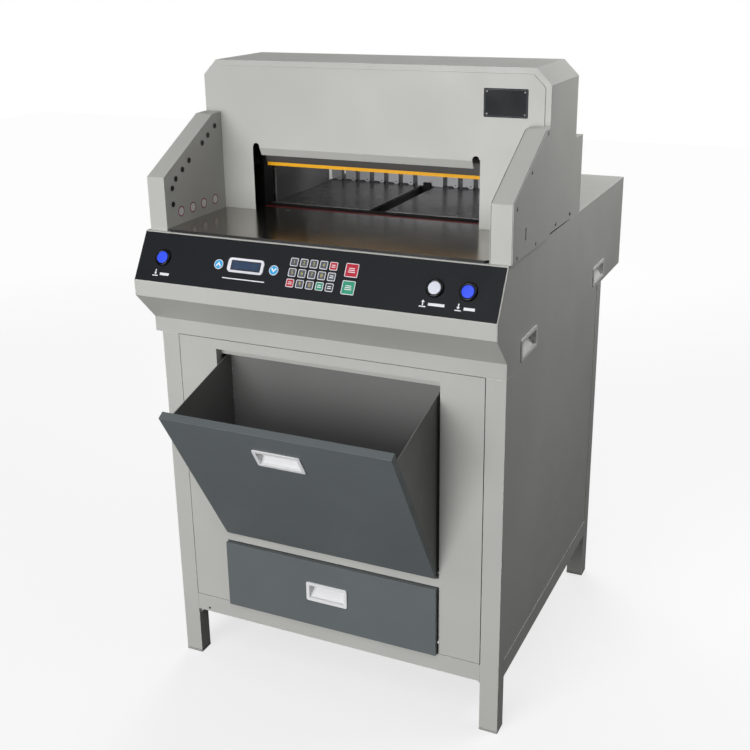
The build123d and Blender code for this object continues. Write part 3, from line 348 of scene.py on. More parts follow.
def painted(name, colour, roughness=0.42, peel=0.25, tone=0.05, edge=1.25, dust=0.06):
    """Powder coat: orange peel, slow changes of tone, thin dust and edges lightened by wear."""
    nodes = Nodes(name)
    slow = nodes.ramp(nodes.noise(2.2, 3.0), 0.3, 0.7)
    base = nodes.mix(slow, shade(colour, 1 - tone), shade(colour, 1 + tone))
    cloud = nodes.ramp(nodes.noise(9.0, 6.0), 0.52, 0.75, 0.0, dust)
    base = nodes.mix(cloud, base, shade(colour, 1.3))
    edge_wear_and_highlight = nodes.sums("MULTIPLY", nodes.edge(), nodes.ramp(nodes.noise(60.0, 5.0), 0.42, 0.6, 0.15, 0.9))
    base = nodes.mix(edge_wear_and_highlight, base, shade(colour, edge))
    nodes.put(nodes.shader.inputs["Base Color"], base)
    nodes.put(nodes.shader.inputs["Roughness"],
          nodes.ramp(nodes.noise(14.0, 5.0), 0.3, 0.7, roughness - 0.06, roughness + 0.08))
    nodes.shader.inputs["Specular IOR Level"].default_value = 0.4
    nodes.put(nodes.shader.inputs["Normal"], nodes.bump(nodes.noise(620.0, 2.0), peel, 0.0002))
    return nodes.material


def moulded(name, colour, roughness=0.35, grain=0.2, coat=0.0, scale=900.0, shine=0.5):
    """Moulded plastic: fine spark grain, faint flow marks and handled patches."""
    nodes = Nodes(name)
    flow = nodes.ramp(nodes.noise(5.0, 3.0, (1, 1, 3)), 0.3, 0.7)
    base = nodes.mix(flow, shade(colour, 0.96), shade(colour, 1.04))
    edge_wear_and_highlight = nodes.sums("MULTIPLY", nodes.edge(), nodes.ramp(nodes.noise(80.0), 0.4, 0.65, 0.1, 0.5))
    base = nodes.mix(edge_wear_and_highlight, base, shade(colour, 1.18))
    nodes.put(nodes.shader.inputs["Base Color"], base)
    nodes.put(nodes.shader.inputs["Roughness"],
          nodes.ramp(nodes.noise(22.0, 5.0), 0.3, 0.7, roughness - 0.05, roughness + 0.1))
    nodes.shader.inputs["Specular IOR Level"].default_value = shine
    nodes.shader.inputs["Coat Weight"].default_value = coat
    nodes.shader.inputs["Coat Roughness"].default_value = 0.12
    nodes.put(nodes.shader.inputs["Normal"], nodes.bump(nodes.noise(scale, 3.0), grain, 0.0001))
    return nodes.material


def steel(name, colour, roughness=0.28, along=(1, 60, 60), scratch=0.25, metallic=1.0, stain=0.15, edge=1.6):
    """Ground steel: grinding lines, oil stains, and edges lightened by wear and by a painted highlight."""
    nodes = Nodes(name)
    lines = nodes.noise(55.0, 4.0, along, 0.7)
    oil = nodes.ramp(nodes.noise(7.0, 6.0), 0.45, 0.75, 0.0, stain)
    base = nodes.mix(nodes.ramp(lines, 0.3, 0.7), shade(colour, 0.9), shade(colour, 1.08))
    base = nodes.mix(oil, base, shade(colour, 0.55))
    edge_wear_and_highlight = nodes.sums("MULTIPLY", nodes.edge(), 0.7)
    base = nodes.mix(edge_wear_and_highlight, base, shade(colour, edge))
    nodes.put(nodes.shader.inputs["Base Color"], base)
    nodes.shader.inputs["Metallic"].default_value = metallic
    rough = nodes.sums("ADD", nodes.ramp(lines, 0.3, 0.7, roughness - 0.05, roughness + 0.06),
                   nodes.sums("MULTIPLY", oil, 0.5))
    nodes.put(nodes.shader.inputs["Roughness"], rough)
    nodes.put(nodes.shader.inputs["Normal"], nodes.bump(lines, scratch, 0.00002))
    return nodes.material


def cast(name, colour, roughness=0.6):
    """Painted casting: sandy skin under thick paint."""
    nodes = Nodes(name)
    sand = nodes.noise(240.0, 6.0)
    base = nodes.mix(nodes.ramp(nodes.noise(12.0, 5.0), 0.35, 0.7), shade(colour, 0.8), shade(colour, 1.2))
    edge_wear_and_highlight = nodes.sums("MULTIPLY", nodes.edge(), 0.5)
    nodes.put(nodes.shader.inputs["Base Color"], nodes.mix(edge_wear_and_highlight, base, shade(colour, 1.8)))
    nodes.shader.inputs["Specular IOR Level"].default_value = 0.2
    nodes.put(nodes.shader.inputs["Roughness"], nodes.ramp(sand, 0.3, 0.7, roughness - 0.1, roughness + 0.1))
    nodes.put(nodes.shader.inputs["Normal"], nodes.bump(sand, 0.5, 0.0004))
    return nodes.material


def glowing(name, colour, strength):
    """Lit display: liquid crystal rows over a back light."""
    nodes = Nodes(name)
    rows = nodes.noise(700.0, 1.0, (1, 4, 4))
    base = nodes.mix(nodes.ramp(rows, 0.4, 0.6), shade(colour, 0.85), shade(colour, 1.15))
    nodes.put(nodes.shader.inputs["Base Color"], base)
    nodes.put(nodes.shader.inputs["Emission Color"], base)
    nodes.shader.inputs["Emission Strength"].default_value = strength
    nodes.put(nodes.shader.inputs["Roughness"], nodes.ramp(nodes.noise(90.0), 0.3, 0.7, 0.2, 0.3))
    nodes.shader.inputs["Specular IOR Level"].default_value = 0.3
    nodes.put(nodes.shader.inputs["Normal"], nodes.bump(rows, 0.05, 0.00005))
    return nodes.material


made = {}


def finish(name):
    """Finish by its name, made once from the colours of the scene."""
    if name in made:
        return made[name]
    tint = bpy.context.scene.cutter_colours
    makers = {
        "light_paint": lambda: painted("satin grey powder coat", tint.body_paint),
        "slate_paint": lambda: painted("slate grey paint", tint.slate_paint, 0.45, tone=0.06),
        # The bin's body is lighter and more neutral than its slate front; the lightness stands in for light
        # falling into the bin
        "bin_grey_painted_light": lambda: painted("bin grey lightened as painted light", tint.bin_inside_painted_light, 0.55, 0.4, 0.1),
        "white_plastic": lambda: moulded("white moulded plastic", tint.pull_white, 0.32),
        "overlay": lambda: moulded("black printed panel sheet", tint.panel_black, 0.5, 0.3, scale=1600.0,
                                   shine=0.18),
        "blue_button": lambda: moulded("blue button", tint.button_blue, 0.3, 0.05, shine=0.3),
        "white_button": lambda: moulded("white button", tint.button_white, 0.3, 0.05, shine=0.3),
        "black_plastic": lambda: moulded("black plastic", tint.black_plastic, 0.38),
        "key_slate": lambda: moulded("slate key", tint.key_slate, 0.4),
        "key_red": lambda: moulded("red key", tint.key_red, 0.4),
        "key_green": lambda: moulded("green key", tint.key_green, 0.4),
        "key_dark": lambda: moulded("dark key", tint.key_dark, 0.4),
        "collar_black": lambda: moulded("glossy black collar", tint.collar_black, 0.22, shine=0.4),
        "print_white": lambda: moulded("white print", tint.print_white, 0.4),
        "print_yellow": lambda: moulded("yellow print", tint.print_yellow, 0.4),
        "print_red": lambda: moulded("red print", tint.print_red, 0.45),
        "disc_white": lambda: moulded("white disc", tint.pull_white, 0.5),
        "arrow_cyan": lambda: moulded("cyan key", tint.arrow_cyan, 0.35),
        "display_frame": lambda: moulded("silver display frame", tint.display_silver, 0.28, 0.05, 0.4),
        "display_glass": lambda: glowing("lit display", tint.display_blue, 0.05),
        "display_dark": lambda: moulded("dark display edge", tint.display_dark, 0.3, 0.02),
        "board": lambda: moulded("green circuit board", tint.board_green, 0.5, 0.4),
        "zinc": lambda: steel("zinc plated steel", tint.zinc, 0.35),
        "table_steel": lambda: steel("polished table steel", tint.table_steel, 0.17, (1, 40, 40), 0.1,
                                     edge=0.9),
        # The rear tables and the gauge plates get far lighter edges: a painted highlight along them
        "rear_table_steel": lambda: steel("ground rear table steel", tint.rear_steel, 0.24, (40, 1, 40), 0.1,
                                          0.55, edge=5.0),
        "gauge_steel": lambda: steel("satin gauge plate", tint.gauge_steel, 0.3, (1, 6, 30), 0.1, 0.5,
                                     edge=3.0),
        "casting": lambda: cast("black painted casting", tint.casting_black),
        "knife_steel": lambda: steel("ground knife steel", tint.knife_steel, 0.38, scratch=0.05,
                                     metallic=0.45),
        "comb_alloy": lambda: steel("blasted alloy", tint.comb_alloy, 0.5, (8, 8, 8), 0.3, 0.1, 0.05),
        "clamp_steel": lambda: steel("blackened steel", tint.clamp_steel, 0.4, metallic=0.5, stain=0.3),
        "yellow_strip": lambda: moulded("yellow strip", tint.strip_yellow, 0.4, shine=0.2),
        "red_stick": lambda: moulded("dark red cutting stick", tint.stick_red, 0.45),
        "drive_paint": lambda: cast("grey machine paint", tint.drive_grey, 0.45),
        "screw_steel": lambda: steel("screw steel", tint.screw_grey, 0.35, (20, 20, 20), metallic=0.4),
        # The grips are white plastic made grey: painted shade of the body's sides
        "grip_white_painted_shade": lambda: moulded("white grip plastic in painted shade", tint.grip_painted_shade_grey, 0.4),
        "glide": lambda: moulded("grey glide", tint.glide_grey, 0.5),
    }
    made[name] = makers[name]()
    return made[name]


# Meshes

def piece(name, bm, finishes, body, replaces=(), angle=30.0):
    """Finished piece from a bmesh, in place, riding on a body."""
    mesh = bpy.data.meshes.new(name)
    bm.to_mesh(mesh)
    bm.free()
    for entry in finishes:
        mesh.materials.append(finish(entry))
    mesh.shade_smooth()
    mesh.set_sharp_from_angle(angle=radians(angle))
    made_object = bpy.data.objects.new(name, mesh)
    bpy.context.scene.collection.objects.link(made_object)
    flat = made_object.modifiers.new("Level faces", "WEIGHTED_NORMAL")
    flat.keep_sharp = True
    flat.weight = 100
    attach(made_object, body)
    if replaces:
        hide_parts(*replaces)


def soften(bm, offset, segments=2, edges=None):
    """Rounds a closed mesh's sharp edges, marking their faces for wear and for a steel's painted highlight.
    """
    if edges is None:
        edges = [edge for edge in bm.edges
                 if len(edge.link_faces) == 2 and edge.calc_face_angle() > radians(SHARP_EDGE)]
    layer = bm.loops.layers.float.get("edge") or bm.loops.layers.float.new("edge")
    rounded = bmesh.ops.bevel(bm, geom=edges, offset=offset, offset_type="OFFSET", segments=segments,
                              profile=0.5, affect="EDGES", clamp_overlap=True, material=-1)
    for face in rounded["faces"]:
        for loop in face.loops:
            loop[layer] = 1.0


def drill(bm, holes):
    """Cuts round blind holes: each a place whose Z runs into the metal, a radius and a depth in mm."""
    drills = bmesh.new()
    for place, radius, depth in holes:
        made_drill = bmesh.ops.create_cone(drills, cap_ends=True, segments=24, radius1=radius * MM,
                                           radius2=radius * MM, depth=2 * depth * MM)
        bmesh.ops.transform(drills, matrix=place, verts=made_drill["verts"])
    holders = []
    for name, content in (("drilled", bm), ("drills", drills)):
        mesh = bpy.data.meshes.new(name)
        content.to_mesh(mesh)
        holders.append(bpy.data.objects.new(name, mesh))
        bpy.context.scene.collection.objects.link(holders[-1])
    drills.free()
    cut = holders[0].modifiers.new("Holes", "BOOLEAN")
    cut.operation = "DIFFERENCE"
    cut.solver = "EXACT"
    cut.object = holders[1]
    graph = bpy.context.evaluated_depsgraph_get()
    result = bpy.data.meshes.new_from_object(holders[0].evaluated_get(graph))
    bm.clear()
    bm.from_mesh(result)
    for item in holders:
        bpy.data.meshes.remove(item.data)
    bpy.data.meshes.remove(result)


def softened(node, slot, offset, look=None, holes=(), front_look=None, change=None):
    """Copy of a CAD node, standing for it, with edges softened by an offset in mm, or as meshed at 0."""
    source = frame["nodes"][node]
    bm = bmesh.new()
    bm.from_mesh(source.data)
    bmesh.ops.remove_doubles(bm, verts=bm.verts, dist=2e-6)
    if offset:
        bmesh.ops.dissolve_limit(bm, angle_limit=radians(0.6), use_dissolve_boundaries=False,
                                 verts=bm.verts, edges=bm.edges)
    if holes:
        drill(bm, holes)
    if change:
        change(bm)
    if offset:
        soften(bm, offset * MM)
    finishes = [look or slot]
    if front_look:
        finishes.append(front_look)
        for face in bm.faces:
            face.normal_update()
            if face.normal.y < -0.3:
                face.material_index = 1
    piece(node + "_finished", bm, finishes, source["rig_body"], (node,))


def rolled(bm, verts, edges, radius, segments):
    """Rounds some edges of a block by a radius in mm, and returns all the block's verts."""
    result = bmesh.ops.bevel(bm, geom=edges, offset=radius * MM, segments=segments, profile=0.5,
                             affect="EDGES", clamp_overlap=True, material=-1)
    return list({vert for vert in verts if vert.is_valid} | set(result["verts"]))


def slab(bm, matrix, width, height, low, high, corner=0.0, segments=4, soft=0.0, index=0):
    """Flat block on a place: its size, how far its two faces stand off, and its rounded edges."""
    verts = bmesh.ops.create_cube(bm, size=1.0)["verts"]
    bmesh.ops.scale(bm, vec=(width * MM, height * MM, (high - low) * MM), verts=verts)
    bmesh.ops.translate(bm, vec=(0, 0, (high + low) / 2 * MM), verts=verts)
    if corner:
        upright = [edge for edge in {edge for vert in verts for edge in vert.link_edges}
                   if abs((edge.verts[0].co - edge.verts[1].co).z) > 1e-7]
        verts = rolled(bm, verts, upright, corner, segments)
    if soft:
        top = max(vert.co.z for vert in verts)
        rim = [edge for edge in {edge for vert in verts for edge in vert.link_edges}
               if all(abs(vert.co.z - top) < 1e-7 for vert in edge.verts)]
        verts = rolled(bm, verts, rim, soft, 2)
    faces = list({face for vert in verts for face in vert.link_faces})
    for face in faces:
        face.material_index = index
    bmesh.ops.transform(bm, matrix=matrix, verts=verts)
    return faces


def inset_top(bm, faces, place, border, sink, index):
    """Insets the faces that look out of a place and sinks them a little, with a material of their own."""
    out = (place.to_3x3() @ UP).normalized()
    for face in faces:
        face.normal_update()
    tops = [face for face in faces if face.normal.dot(out) > 0.999]
    bmesh.ops.inset_region(bm, faces=tops, thickness=border * MM, use_even_offset=True)
    bmesh.ops.translate(bm, vec=-out * sink * MM,
                        verts=list({vert for face in tops for vert in face.verts}))
    for face in tops:
        face.material_index = index


def lathe(bm, profile, matrix, steps, indices=None):
    """Turned shape from a profile of (radius, height) in mm about a place's Z."""
    verts = [bm.verts.new((radius * MM, 0, height * MM)) for radius, height in profile]
    edges = [bm.edges.new(pair) for pair in zip(verts, verts[1:])]
    before = set(bm.faces)
    bmesh.ops.spin(bm, geom=verts + edges, cent=(0, 0, 0), axis=(0, 0, 1), dvec=(0, 0, 0),
                   angle=2 * pi, steps=steps, use_merge=True, use_duplicate=False)
    turned = {vert for face in bm.faces if face not in before for vert in face.verts}
    bmesh.ops.remove_doubles(bm, verts=list(turned), dist=1e-7)
    faces = [face for face in bm.faces if face not in before]
    bmesh.ops.recalc_face_normals(bm, faces=faces)
    if indices:
        for face in faces:
            centre = face.calc_center_median()
            face.material_index = indices(centre.xy.length / MM, centre.z / MM)
    bmesh.ops.transform(bm, matrix=matrix, verts=list({vert for face in faces for vert in face.verts}))


def pan_screw(bm, matrix, radius, height):
    """Pan head screw with a round socket, whose faces are dark: painted shade in the recess."""
    profile = [(0, 0), (radius, 0), (radius, height * 0.45), (radius * 0.86, height * 0.85),
               (radius * 0.6, height), (radius * 0.5, height), (radius * 0.46, height * 0.4),
               (0, height * 0.4)]
    lathe(bm, profile, matrix, 18, lambda away, up: 1 if away < radius * 0.5 and up < height * 0.8 else 0)


def shade_disc(bm, matrix, radius):
    """Dark disc below a screw's head: painted shade round it, as at the foot of a pocket."""
    low, high = SHADE_DISC_HEIGHTS
    lathe(bm, [(0, low), (radius, low), (radius, high), (0, high)], matrix, 18, lambda away, up: 1)


def add_number(bm, text, size, matrix, index):
    """Flat number, centred on a place."""
    curve = bpy.data.curves.new("number", "FONT")
    curve.body = text
    curve.size = size * MM
    curve.align_x = "CENTER"
    curve.align_y = "CENTER"
    curve.extrude = NUMBER_DEPTH * MM
    holder = bpy.data.objects.new("number", curve)
    bpy.context.scene.collection.objects.link(holder)
    graph = bpy.context.evaluated_depsgraph_get()
    mesh = bpy.data.meshes.new_from_object(holder.evaluated_get(graph))
    bpy.data.objects.remove(holder)
    bpy.data.curves.remove(curve)
    mesh.transform(matrix)
    before = set(bm.faces)
    bm.from_mesh(mesh)
    for face in set(bm.faces) - before:
        face.material_index = index
    bpy.data.meshes.remove(mesh)


def flat_shape(bm, points, matrix, low, high, index=0):
    """Thin plate from an outline of points in mm on a place."""
    verts = [bm.verts.new((x * MM, y * MM, low * MM)) for x, y in points]
    face = bm.faces.new(verts)
    if face.normal.z > 0:
        face.normal_flip()
    raised = bmesh.ops.extrude_face_region(bm, geom=[face])
    top = [item for item in raised["geom"] if isinstance(item, bmesh.types.BMVert)]
    bmesh.ops.translate(bm, vec=(0, 0, (high - low) * MM), verts=top)
    everything = list(set(verts) | set(top))
    faces = list({item for vert in everything for item in vert.link_faces})
    bmesh.ops.recalc_face_normals(bm, faces=faces)
    for item in faces:
        item.material_index = index
    bmesh.ops.transform(bm, matrix=matrix, verts=everything)


# Properties

def length(name, description, default):
    return FloatProperty(name=name, description=description, default=default, min=0.0, unit="LENGTH")


def colour(name, description, default):
    return FloatVectorProperty(name=name, description=description, default=default, size=3, subtype="COLOR",
                               min=0.0, max=1.0)


class CutterSizes(bpy.types.PropertyGroup):
    sheet_edge: length("Sheet edge", "Radius of the painted sheet edges", 0.0005)
    steel_edge: length("Steel edge", "Radius of the machined edges", 0.0004)
    screw_radius: length("Screw radius", "Radius of the cover screws' heads", 0.0025)
    screw_height: length("Screw height", "Height of the cover screws' heads", 0.0022)
    floor_size: length("Floor size", "Side of the studio floor", 14.0)


class CutterColours(bpy.types.PropertyGroup):
    body_paint: colour("Body paint", "Light grey of the sheet covers", (0.50, 0.50, 0.475))
    slate_paint: colour("Slate paint", "Slate grey of the bin and the drawer", (0.127, 0.143, 0.149))
    # The bin's body colour is lightened to paint the light inside the bin
    bin_inside_painted_light: colour("Bin inside", "Primer grey of the bin's body", (0.203, 0.207, 0.2))
    panel_black: colour("Panel black", "Black of the control panel", (0.013, 0.014, 0.017))
    button_blue: colour("Button blue", "Blue of the cut buttons", (0.045, 0.105, 1.0))
    button_white: colour("Button white", "White of the clamp button", (0.78, 0.8, 0.9))
    # This black also paints shade: the strips in the panel's, deck's and guard's gaps, the rail hole and
    # screw sockets
    black_plastic: colour("Black plastic", "Inlet, seal, seams and sensor lenses", (0.008, 0.008, 0.01))
    key_slate: colour("Slate key", "Number keys and the line round the plate", (0.09, 0.1, 0.13))
    # Besides the collars, this black paints the shade under the cover screws
    collar_black: colour("Collar black", "Glossy button collars and dark washers", (0.0015, 0.0015, 0.002))
    key_red: colour("Red key", "Red keys", (0.5, 0.012, 0.035))
    key_green: colour("Green key", "Green keys", (0.018, 0.31, 0.18))
    key_dark: colour("Dark key", "Dark key", (0.03, 0.03, 0.04))
    print_white: colour("White print", "White printed marks", (0.86, 0.86, 0.9))
    print_yellow: colour("Yellow print", "Yellow printed numbers", (0.62, 0.55, 0.12))
    print_red: colour("Red print", "Red printed rings", (0.3, 0.015, 0.03))
    arrow_cyan: colour("Cyan key", "Arrow keys", (0.03, 0.4, 0.78))
    display_silver: colour("Display silver", "Frame of the display", (0.8, 0.8, 0.86))
    display_blue: colour("Display blue", "Lit area of the display", (0.04, 0.066, 0.12))
    display_dark: colour("Display edge", "Dark edge of the display window", (0.03, 0.035, 0.05))
    board_green: colour("Board green", "Circuit board", (0.02, 0.12, 0.04))
    zinc: colour("Zinc", "Plated slides, bin pins and gauge screw", (0.55, 0.55, 0.54))
    screw_grey: colour("Screw grey", "Heads of the screws, and the bin's welds", (0.42, 0.42, 0.41))
    # The grips' grey is the white plastic darkened: painted shade
    grip_painted_shade_grey: colour("Grip grey", "Pale grips in the body's sides", (0.72, 0.72, 0.7))
    table_steel: colour("Table steel", "Polished steel of the front table", (0.48, 0.465, 0.435))
    rear_steel: colour("Rear table steel", "Ground steel of the rear tables", (0.13, 0.13, 0.127))
    gauge_steel: colour("Gauge plates", "Steel of the side gauges", (0.26, 0.26, 0.26))
    glide_grey: colour("Glide grey", "Plastic glides under the legs", (0.35, 0.35, 0.34))
    casting_black: colour("Casting black", "Black of the casting", (0.012, 0.012, 0.012))
    knife_steel: colour("Knife steel", "Ground steel of the knife", (0.12, 0.115, 0.11))
    comb_alloy: colour("Comb alloy", "Alloy of the back gauge", (0.62, 0.62, 0.65))
    clamp_steel: colour("Clamp steel", "Blackened clamp, frame and table front", (0.02, 0.0195, 0.019))
    strip_yellow: colour("Yellow strip", "Yellow strip of the clamp", (1.0, 0.47, 0.005))
    stick_red: colour("Red stick", "Dark red cutting stick", (0.22, 0.008, 0.012))
    drive_grey: colour("Drive grey", "Grey paint of the drives", (0.07, 0.08, 0.085))
    pull_white: colour("Pull white", "White of the pulls and the discs", (0.82, 0.82, 0.83))


# Operators

class CUTTER_OT_stage(bpy.types.Operator):
    """Makes the floor, the studio light and the camera"""
    bl_idname = "cutter.stage"
    bl_label = "Stage"

    def execute(self, context):
        scene = context.scene
        scene.view_settings.view_transform = "Standard"
        self.floor(scene)
        self.sky(scene)
        for name, place, aim, size, power in LAMPS:
            self.lamp(scene, name, Vector(place), Vector(aim), size, power)
        self.camera(scene)
        return {"FINISHED"}

    def floor(self, scene):
        """Pale floor that fades to white away from the machine."""
        nodes = Nodes("pale floor")
        reach = nodes.tree.nodes.new("ShaderNodeVectorMath")
        reach.operation = "LENGTH"
        nodes.put(reach.inputs[0], nodes.place)
        away = nodes.ramp(reach.outputs["Value"], *FLOOR_FADE)
        path = nodes.tree.nodes.new("ShaderNodeLightPath")
        near = nodes.mix(path.outputs["Is Camera Ray"], (0.1, 0.1, 0.1, 1), (0.32, 0.32, 0.32, 1))
        nodes.put(nodes.shader.inputs["Base Color"], nodes.mix(away, near, (0, 0, 0, 1)))
        seen = nodes.sums("MULTIPLY", path.outputs["Is Camera Ray"], nodes.ramp(away, 0, 1, 0.68, 0.96))
        nodes.shader.inputs["Emission Color"].default_value = (1, 1, 1, 1)
        nodes.put(nodes.shader.inputs["Emission Strength"], nodes.sums("ADD", seen, 0.02))
        nodes.shader.inputs["Roughness"].default_value = 0.9
        nodes.shader.inputs["Specular IOR Level"].default_value = 0.0
        bm = bmesh.new()
        bmesh.ops.create_grid(bm, x_segments=1, y_segments=1, size=scene.cutter_sizes.floor_size / 2)
        mesh = bpy.data.meshes.new("studio_floor")
        bm.to_mesh(mesh)
        bm.free()
        mesh.materials.append(nodes.material)
        floor = bpy.data.objects.new("studio_floor", mesh)
        scene.collection.objects.link(floor)

    def sky(self, scene):
        """White for the camera, and for the machine a soft light that is stronger from above."""
        world = bpy.data.worlds.new("studio")
        scene.world = world
        world.use_nodes = True
        tree = world.node_tree
        soft = tree.nodes["Background"]
        soft.inputs["Color"].default_value = SKY_TINT
        direction = tree.nodes.new("ShaderNodeTexCoord")
        parts = tree.nodes.new("ShaderNodeSeparateXYZ")
        tree.links.new(direction.outputs["Generated"], parts.inputs[0])
        rise = tree.nodes.new("ShaderNodeMapRange")
        rise.inputs["To Min"].default_value = SKY_STRENGTH[0]
        rise.inputs["To Max"].default_value = SKY_STRENGTH[1]
        tree.links.new(parts.outputs["Z"], rise.inputs["Value"])
        tree.links.new(rise.outputs["Result"], soft.inputs["Strength"])
        bright = tree.nodes.new("ShaderNodeBackground")
        bright.inputs["Color"].default_value = (1, 1, 1, 1)
        bright.inputs["Strength"].default_value = 1.0
        path = tree.nodes.new("ShaderNodeLightPath")
        choose = tree.nodes.new("ShaderNodeMixShader")
        tree.links.new(path.outputs["Is Camera Ray"], choose.inputs[0])
        tree.links.new(soft.outputs[0], choose.inputs[1])
        tree.links.new(bright.outputs[0], choose.inputs[2])
        tree.links.new(choose.outputs[0], tree.nodes["World Output"].inputs["Surface"])

    def lamp(self, scene, name, place, aim, size, power):
        """Square area lamp at a place, turned to its aim."""
        data = bpy.data.lights.new(name, "AREA")
        data.shape = "SQUARE"
        data.size = size
        data.energy = power
        lamp = bpy.data.objects.new(name, data)
        scene.collection.objects.link(lamp)
        lamp.location = place
        lamp.rotation_euler = (aim - place).to_track_quat("-Z", "Y").to_euler()
        if name in UNSEEN_LAMPS:
            lamp.visible_camera = False
            lamp.visible_glossy = False

    def camera(self, scene):
        """Camera where the photograph was taken from."""
        yaw, pitch, roll = radians(CAMERA_YAW), radians(CAMERA_PITCH), radians(CAMERA_ROLL)
        forward = Vector((-sin(yaw) * cos(pitch), cos(yaw) * cos(pitch), -sin(pitch)))
        right = Vector((cos(yaw), sin(yaw), 0))
        up = right.cross(forward)
        across = right * cos(roll) + up * sin(roll)
        upward = up * cos(roll) - right * sin(roll)
        turn = Matrix((across, upward, -forward)).transposed().to_4x4()
        data = bpy.data.cameras.new("photo_camera")
        data.lens = CAMERA_LENS
        data.sensor_width = CAMERA_SENSOR
        data.shift_x, data.shift_y = CAMERA_SHIFT
        data.clip_end = CAMERA_REACH
        camera = bpy.data.objects.new("photo_camera", data)
        scene.collection.objects.link(camera)
        camera.matrix_world = Matrix.Translation(CAMERA_PLACE) @ turn
        scene.camera = camera


class CUTTER_OT_stand(bpy.types.Operator):
    """Finishes the legs, rails and sheet panels of the stand"""
    bl_idname = "cutter.stand"
    bl_label = "Stand"

    def execute(self, context):
        edge = context.scene.cutter_sizes.sheet_edge / MM
        for node in ("front_left_leg", "front_right_leg", "rear_left_leg", "rear_right_leg"):
            self.leg(node, edge)
        for node in ("lower_cross_rails", "lower_side_rails", "upper_cross_rails", "upper_side_rails",
                     "front_panel", "side_panels", "rear_panel"):
            softened(node, "light_paint", edge)
        self.gap_shade()
        return {"FINISHED"}

    def leg(self, node, edge):
        """Closed square post with round corners, on its glide."""
        low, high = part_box(node)
        glide_top = low.z + GLIDE_HEIGHT * MM
        bm = bmesh.new()
        blocks = ((low.z, glide_top, edge, 1), (glide_top, high.z, edge * LEG_ROUNDING, 0))
        for bottom, top, radius, index in blocks:
            verts = bmesh.ops.create_cube(bm, size=1.0)["verts"]
            bmesh.ops.scale(bm, vec=(high.x - low.x, high.y - low.y, top - bottom), verts=verts)
            bmesh.ops.translate(bm, vec=((high.x + low.x) / 2, (high.y + low.y) / 2, (top + bottom) / 2),
                                verts=verts)
            for face in {face for vert in verts for face in vert.link_faces}:
                face.material_index = index
            soften(bm, radius * MM, 3, edges=list({edge for vert in verts for edge in vert.link_edges}))
        piece(node + "_finished", bm, ["light_paint", "glide"], "root", (node,))

    def gap_shade(self):
        """Painted shade: black strip in the front panel's right gap, dark disc for the lower rail's hole."""
        bm = bmesh.new()
        leg_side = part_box("front_right_leg")[0].x
        rail_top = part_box("lower_cross_rails")[1].z
        low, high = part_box("front_panel")
        place = Matrix.Translation(((leg_side + high.x) / 2, low.y, (low.z + high.z) / 2))
        slab(bm, place @ Matrix.Rotation(pi / 2, 4, "X"), (leg_side - high.x) / MM, (high.z - rail_top) / MM,
             *GAP_SHADE_DEPTHS)
        lathe(bm, RAIL_HOLE_PROFILE, facing(at(RAIL_HOLE[0], 0, RAIL_HOLE[1]), FRONT), 20)
        piece("panel_gap_shade", bm, ["black_plastic"], "root")


class CUTTER_OT_body(bpy.types.Operator):
    """Finishes the upper body, the console and the rear"""
    bl_idname = "cutter.body"
    bl_label = "Upper body"

    def execute(self, context):
        edge = context.scene.cutter_sizes.sheet_edge / MM
        for node in ("body_left_side", "body_right_side", "console_shell", "top_deck", "base_pan",
                     "rear_cover"):
            softened(node, "light_paint", edge)
        softened("power_inlet", "black_plastic", edge)
        return {"FINISHED"}


class CUTTER_OT_head(bpy.types.Operator):
    """Finishes the head's covers and the guards"""
    bl_idname = "cutter.head"
    bl_label = "Head and guards"

    def execute(self, context):
        edge = context.scene.cutter_sizes.sheet_edge / MM
        for node in ("head_shell", "head_front_plate", "head_rear_cover", "left_guard"):
            softened(node, "light_paint", edge)
        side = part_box("right_guard")[1].x
        holes = [(facing(beside(side, y, z), -RIGHT), POCKET_RADIUS, POCKET_DEPTH) for y, z in SIDE_SCREWS]
        softened("right_guard", "light_paint", edge * FINE_EDGE, holes=holes)
        self.deck_gap_shade()
        self.guard_seam_shade()
        return {"FINISHED"}

    def deck_gap_shade(self):
        """Dark strip in the open gap between the head's right foot and the deck: painted shade."""
        bm = bmesh.new()
        low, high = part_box("head_shell")
        front, back = (at(0, y, 0).y / MM for y in DECK_GAP_SHADE)
        outline = ((front, 0.4), (front + 6, 2.6), (back - 40, 1.6), (back, 0.5), (back, 0.1), (front, 0.1))
        flat_shape(bm, outline, facing(Vector((high.x, 0, low.z)), RIGHT), *DECK_GAP_SHADE_HEIGHTS)
        piece("deck_gap_shade", bm, ["black_plastic"], "root")

    def guard_seam_shade(self):
        """Black strips along the right guard's front and slope, where its side plates meet: painted shade.
        """
        bm = bmesh.new()
        low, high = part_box("right_guard")
        for x in (low.x + GUARD_SEAM_INSET * MM, high.x - GUARD_SEAM_INSET * MM):
            for start, end in zip(GUARD_OUTLINE, GUARD_OUTLINE[1:]):
                along = Vector((0, end[0] - start[0], end[1] - start[1]))
                halfway = Vector((0, end[0] + start[0], end[1] + start[1])) / 2 * MM
                out = Vector((0, -along.z, along.y))
                slab(bm, facing(Vector((x, low.y, low.z)) + halfway, out), GUARD_SEAM_WIDTH,
                     along.length - GUARD_SEAM_GAP, *GUARD_SEAM_HEIGHTS)
        piece("guard_seam_shade", bm, ["black_plastic"], "root")


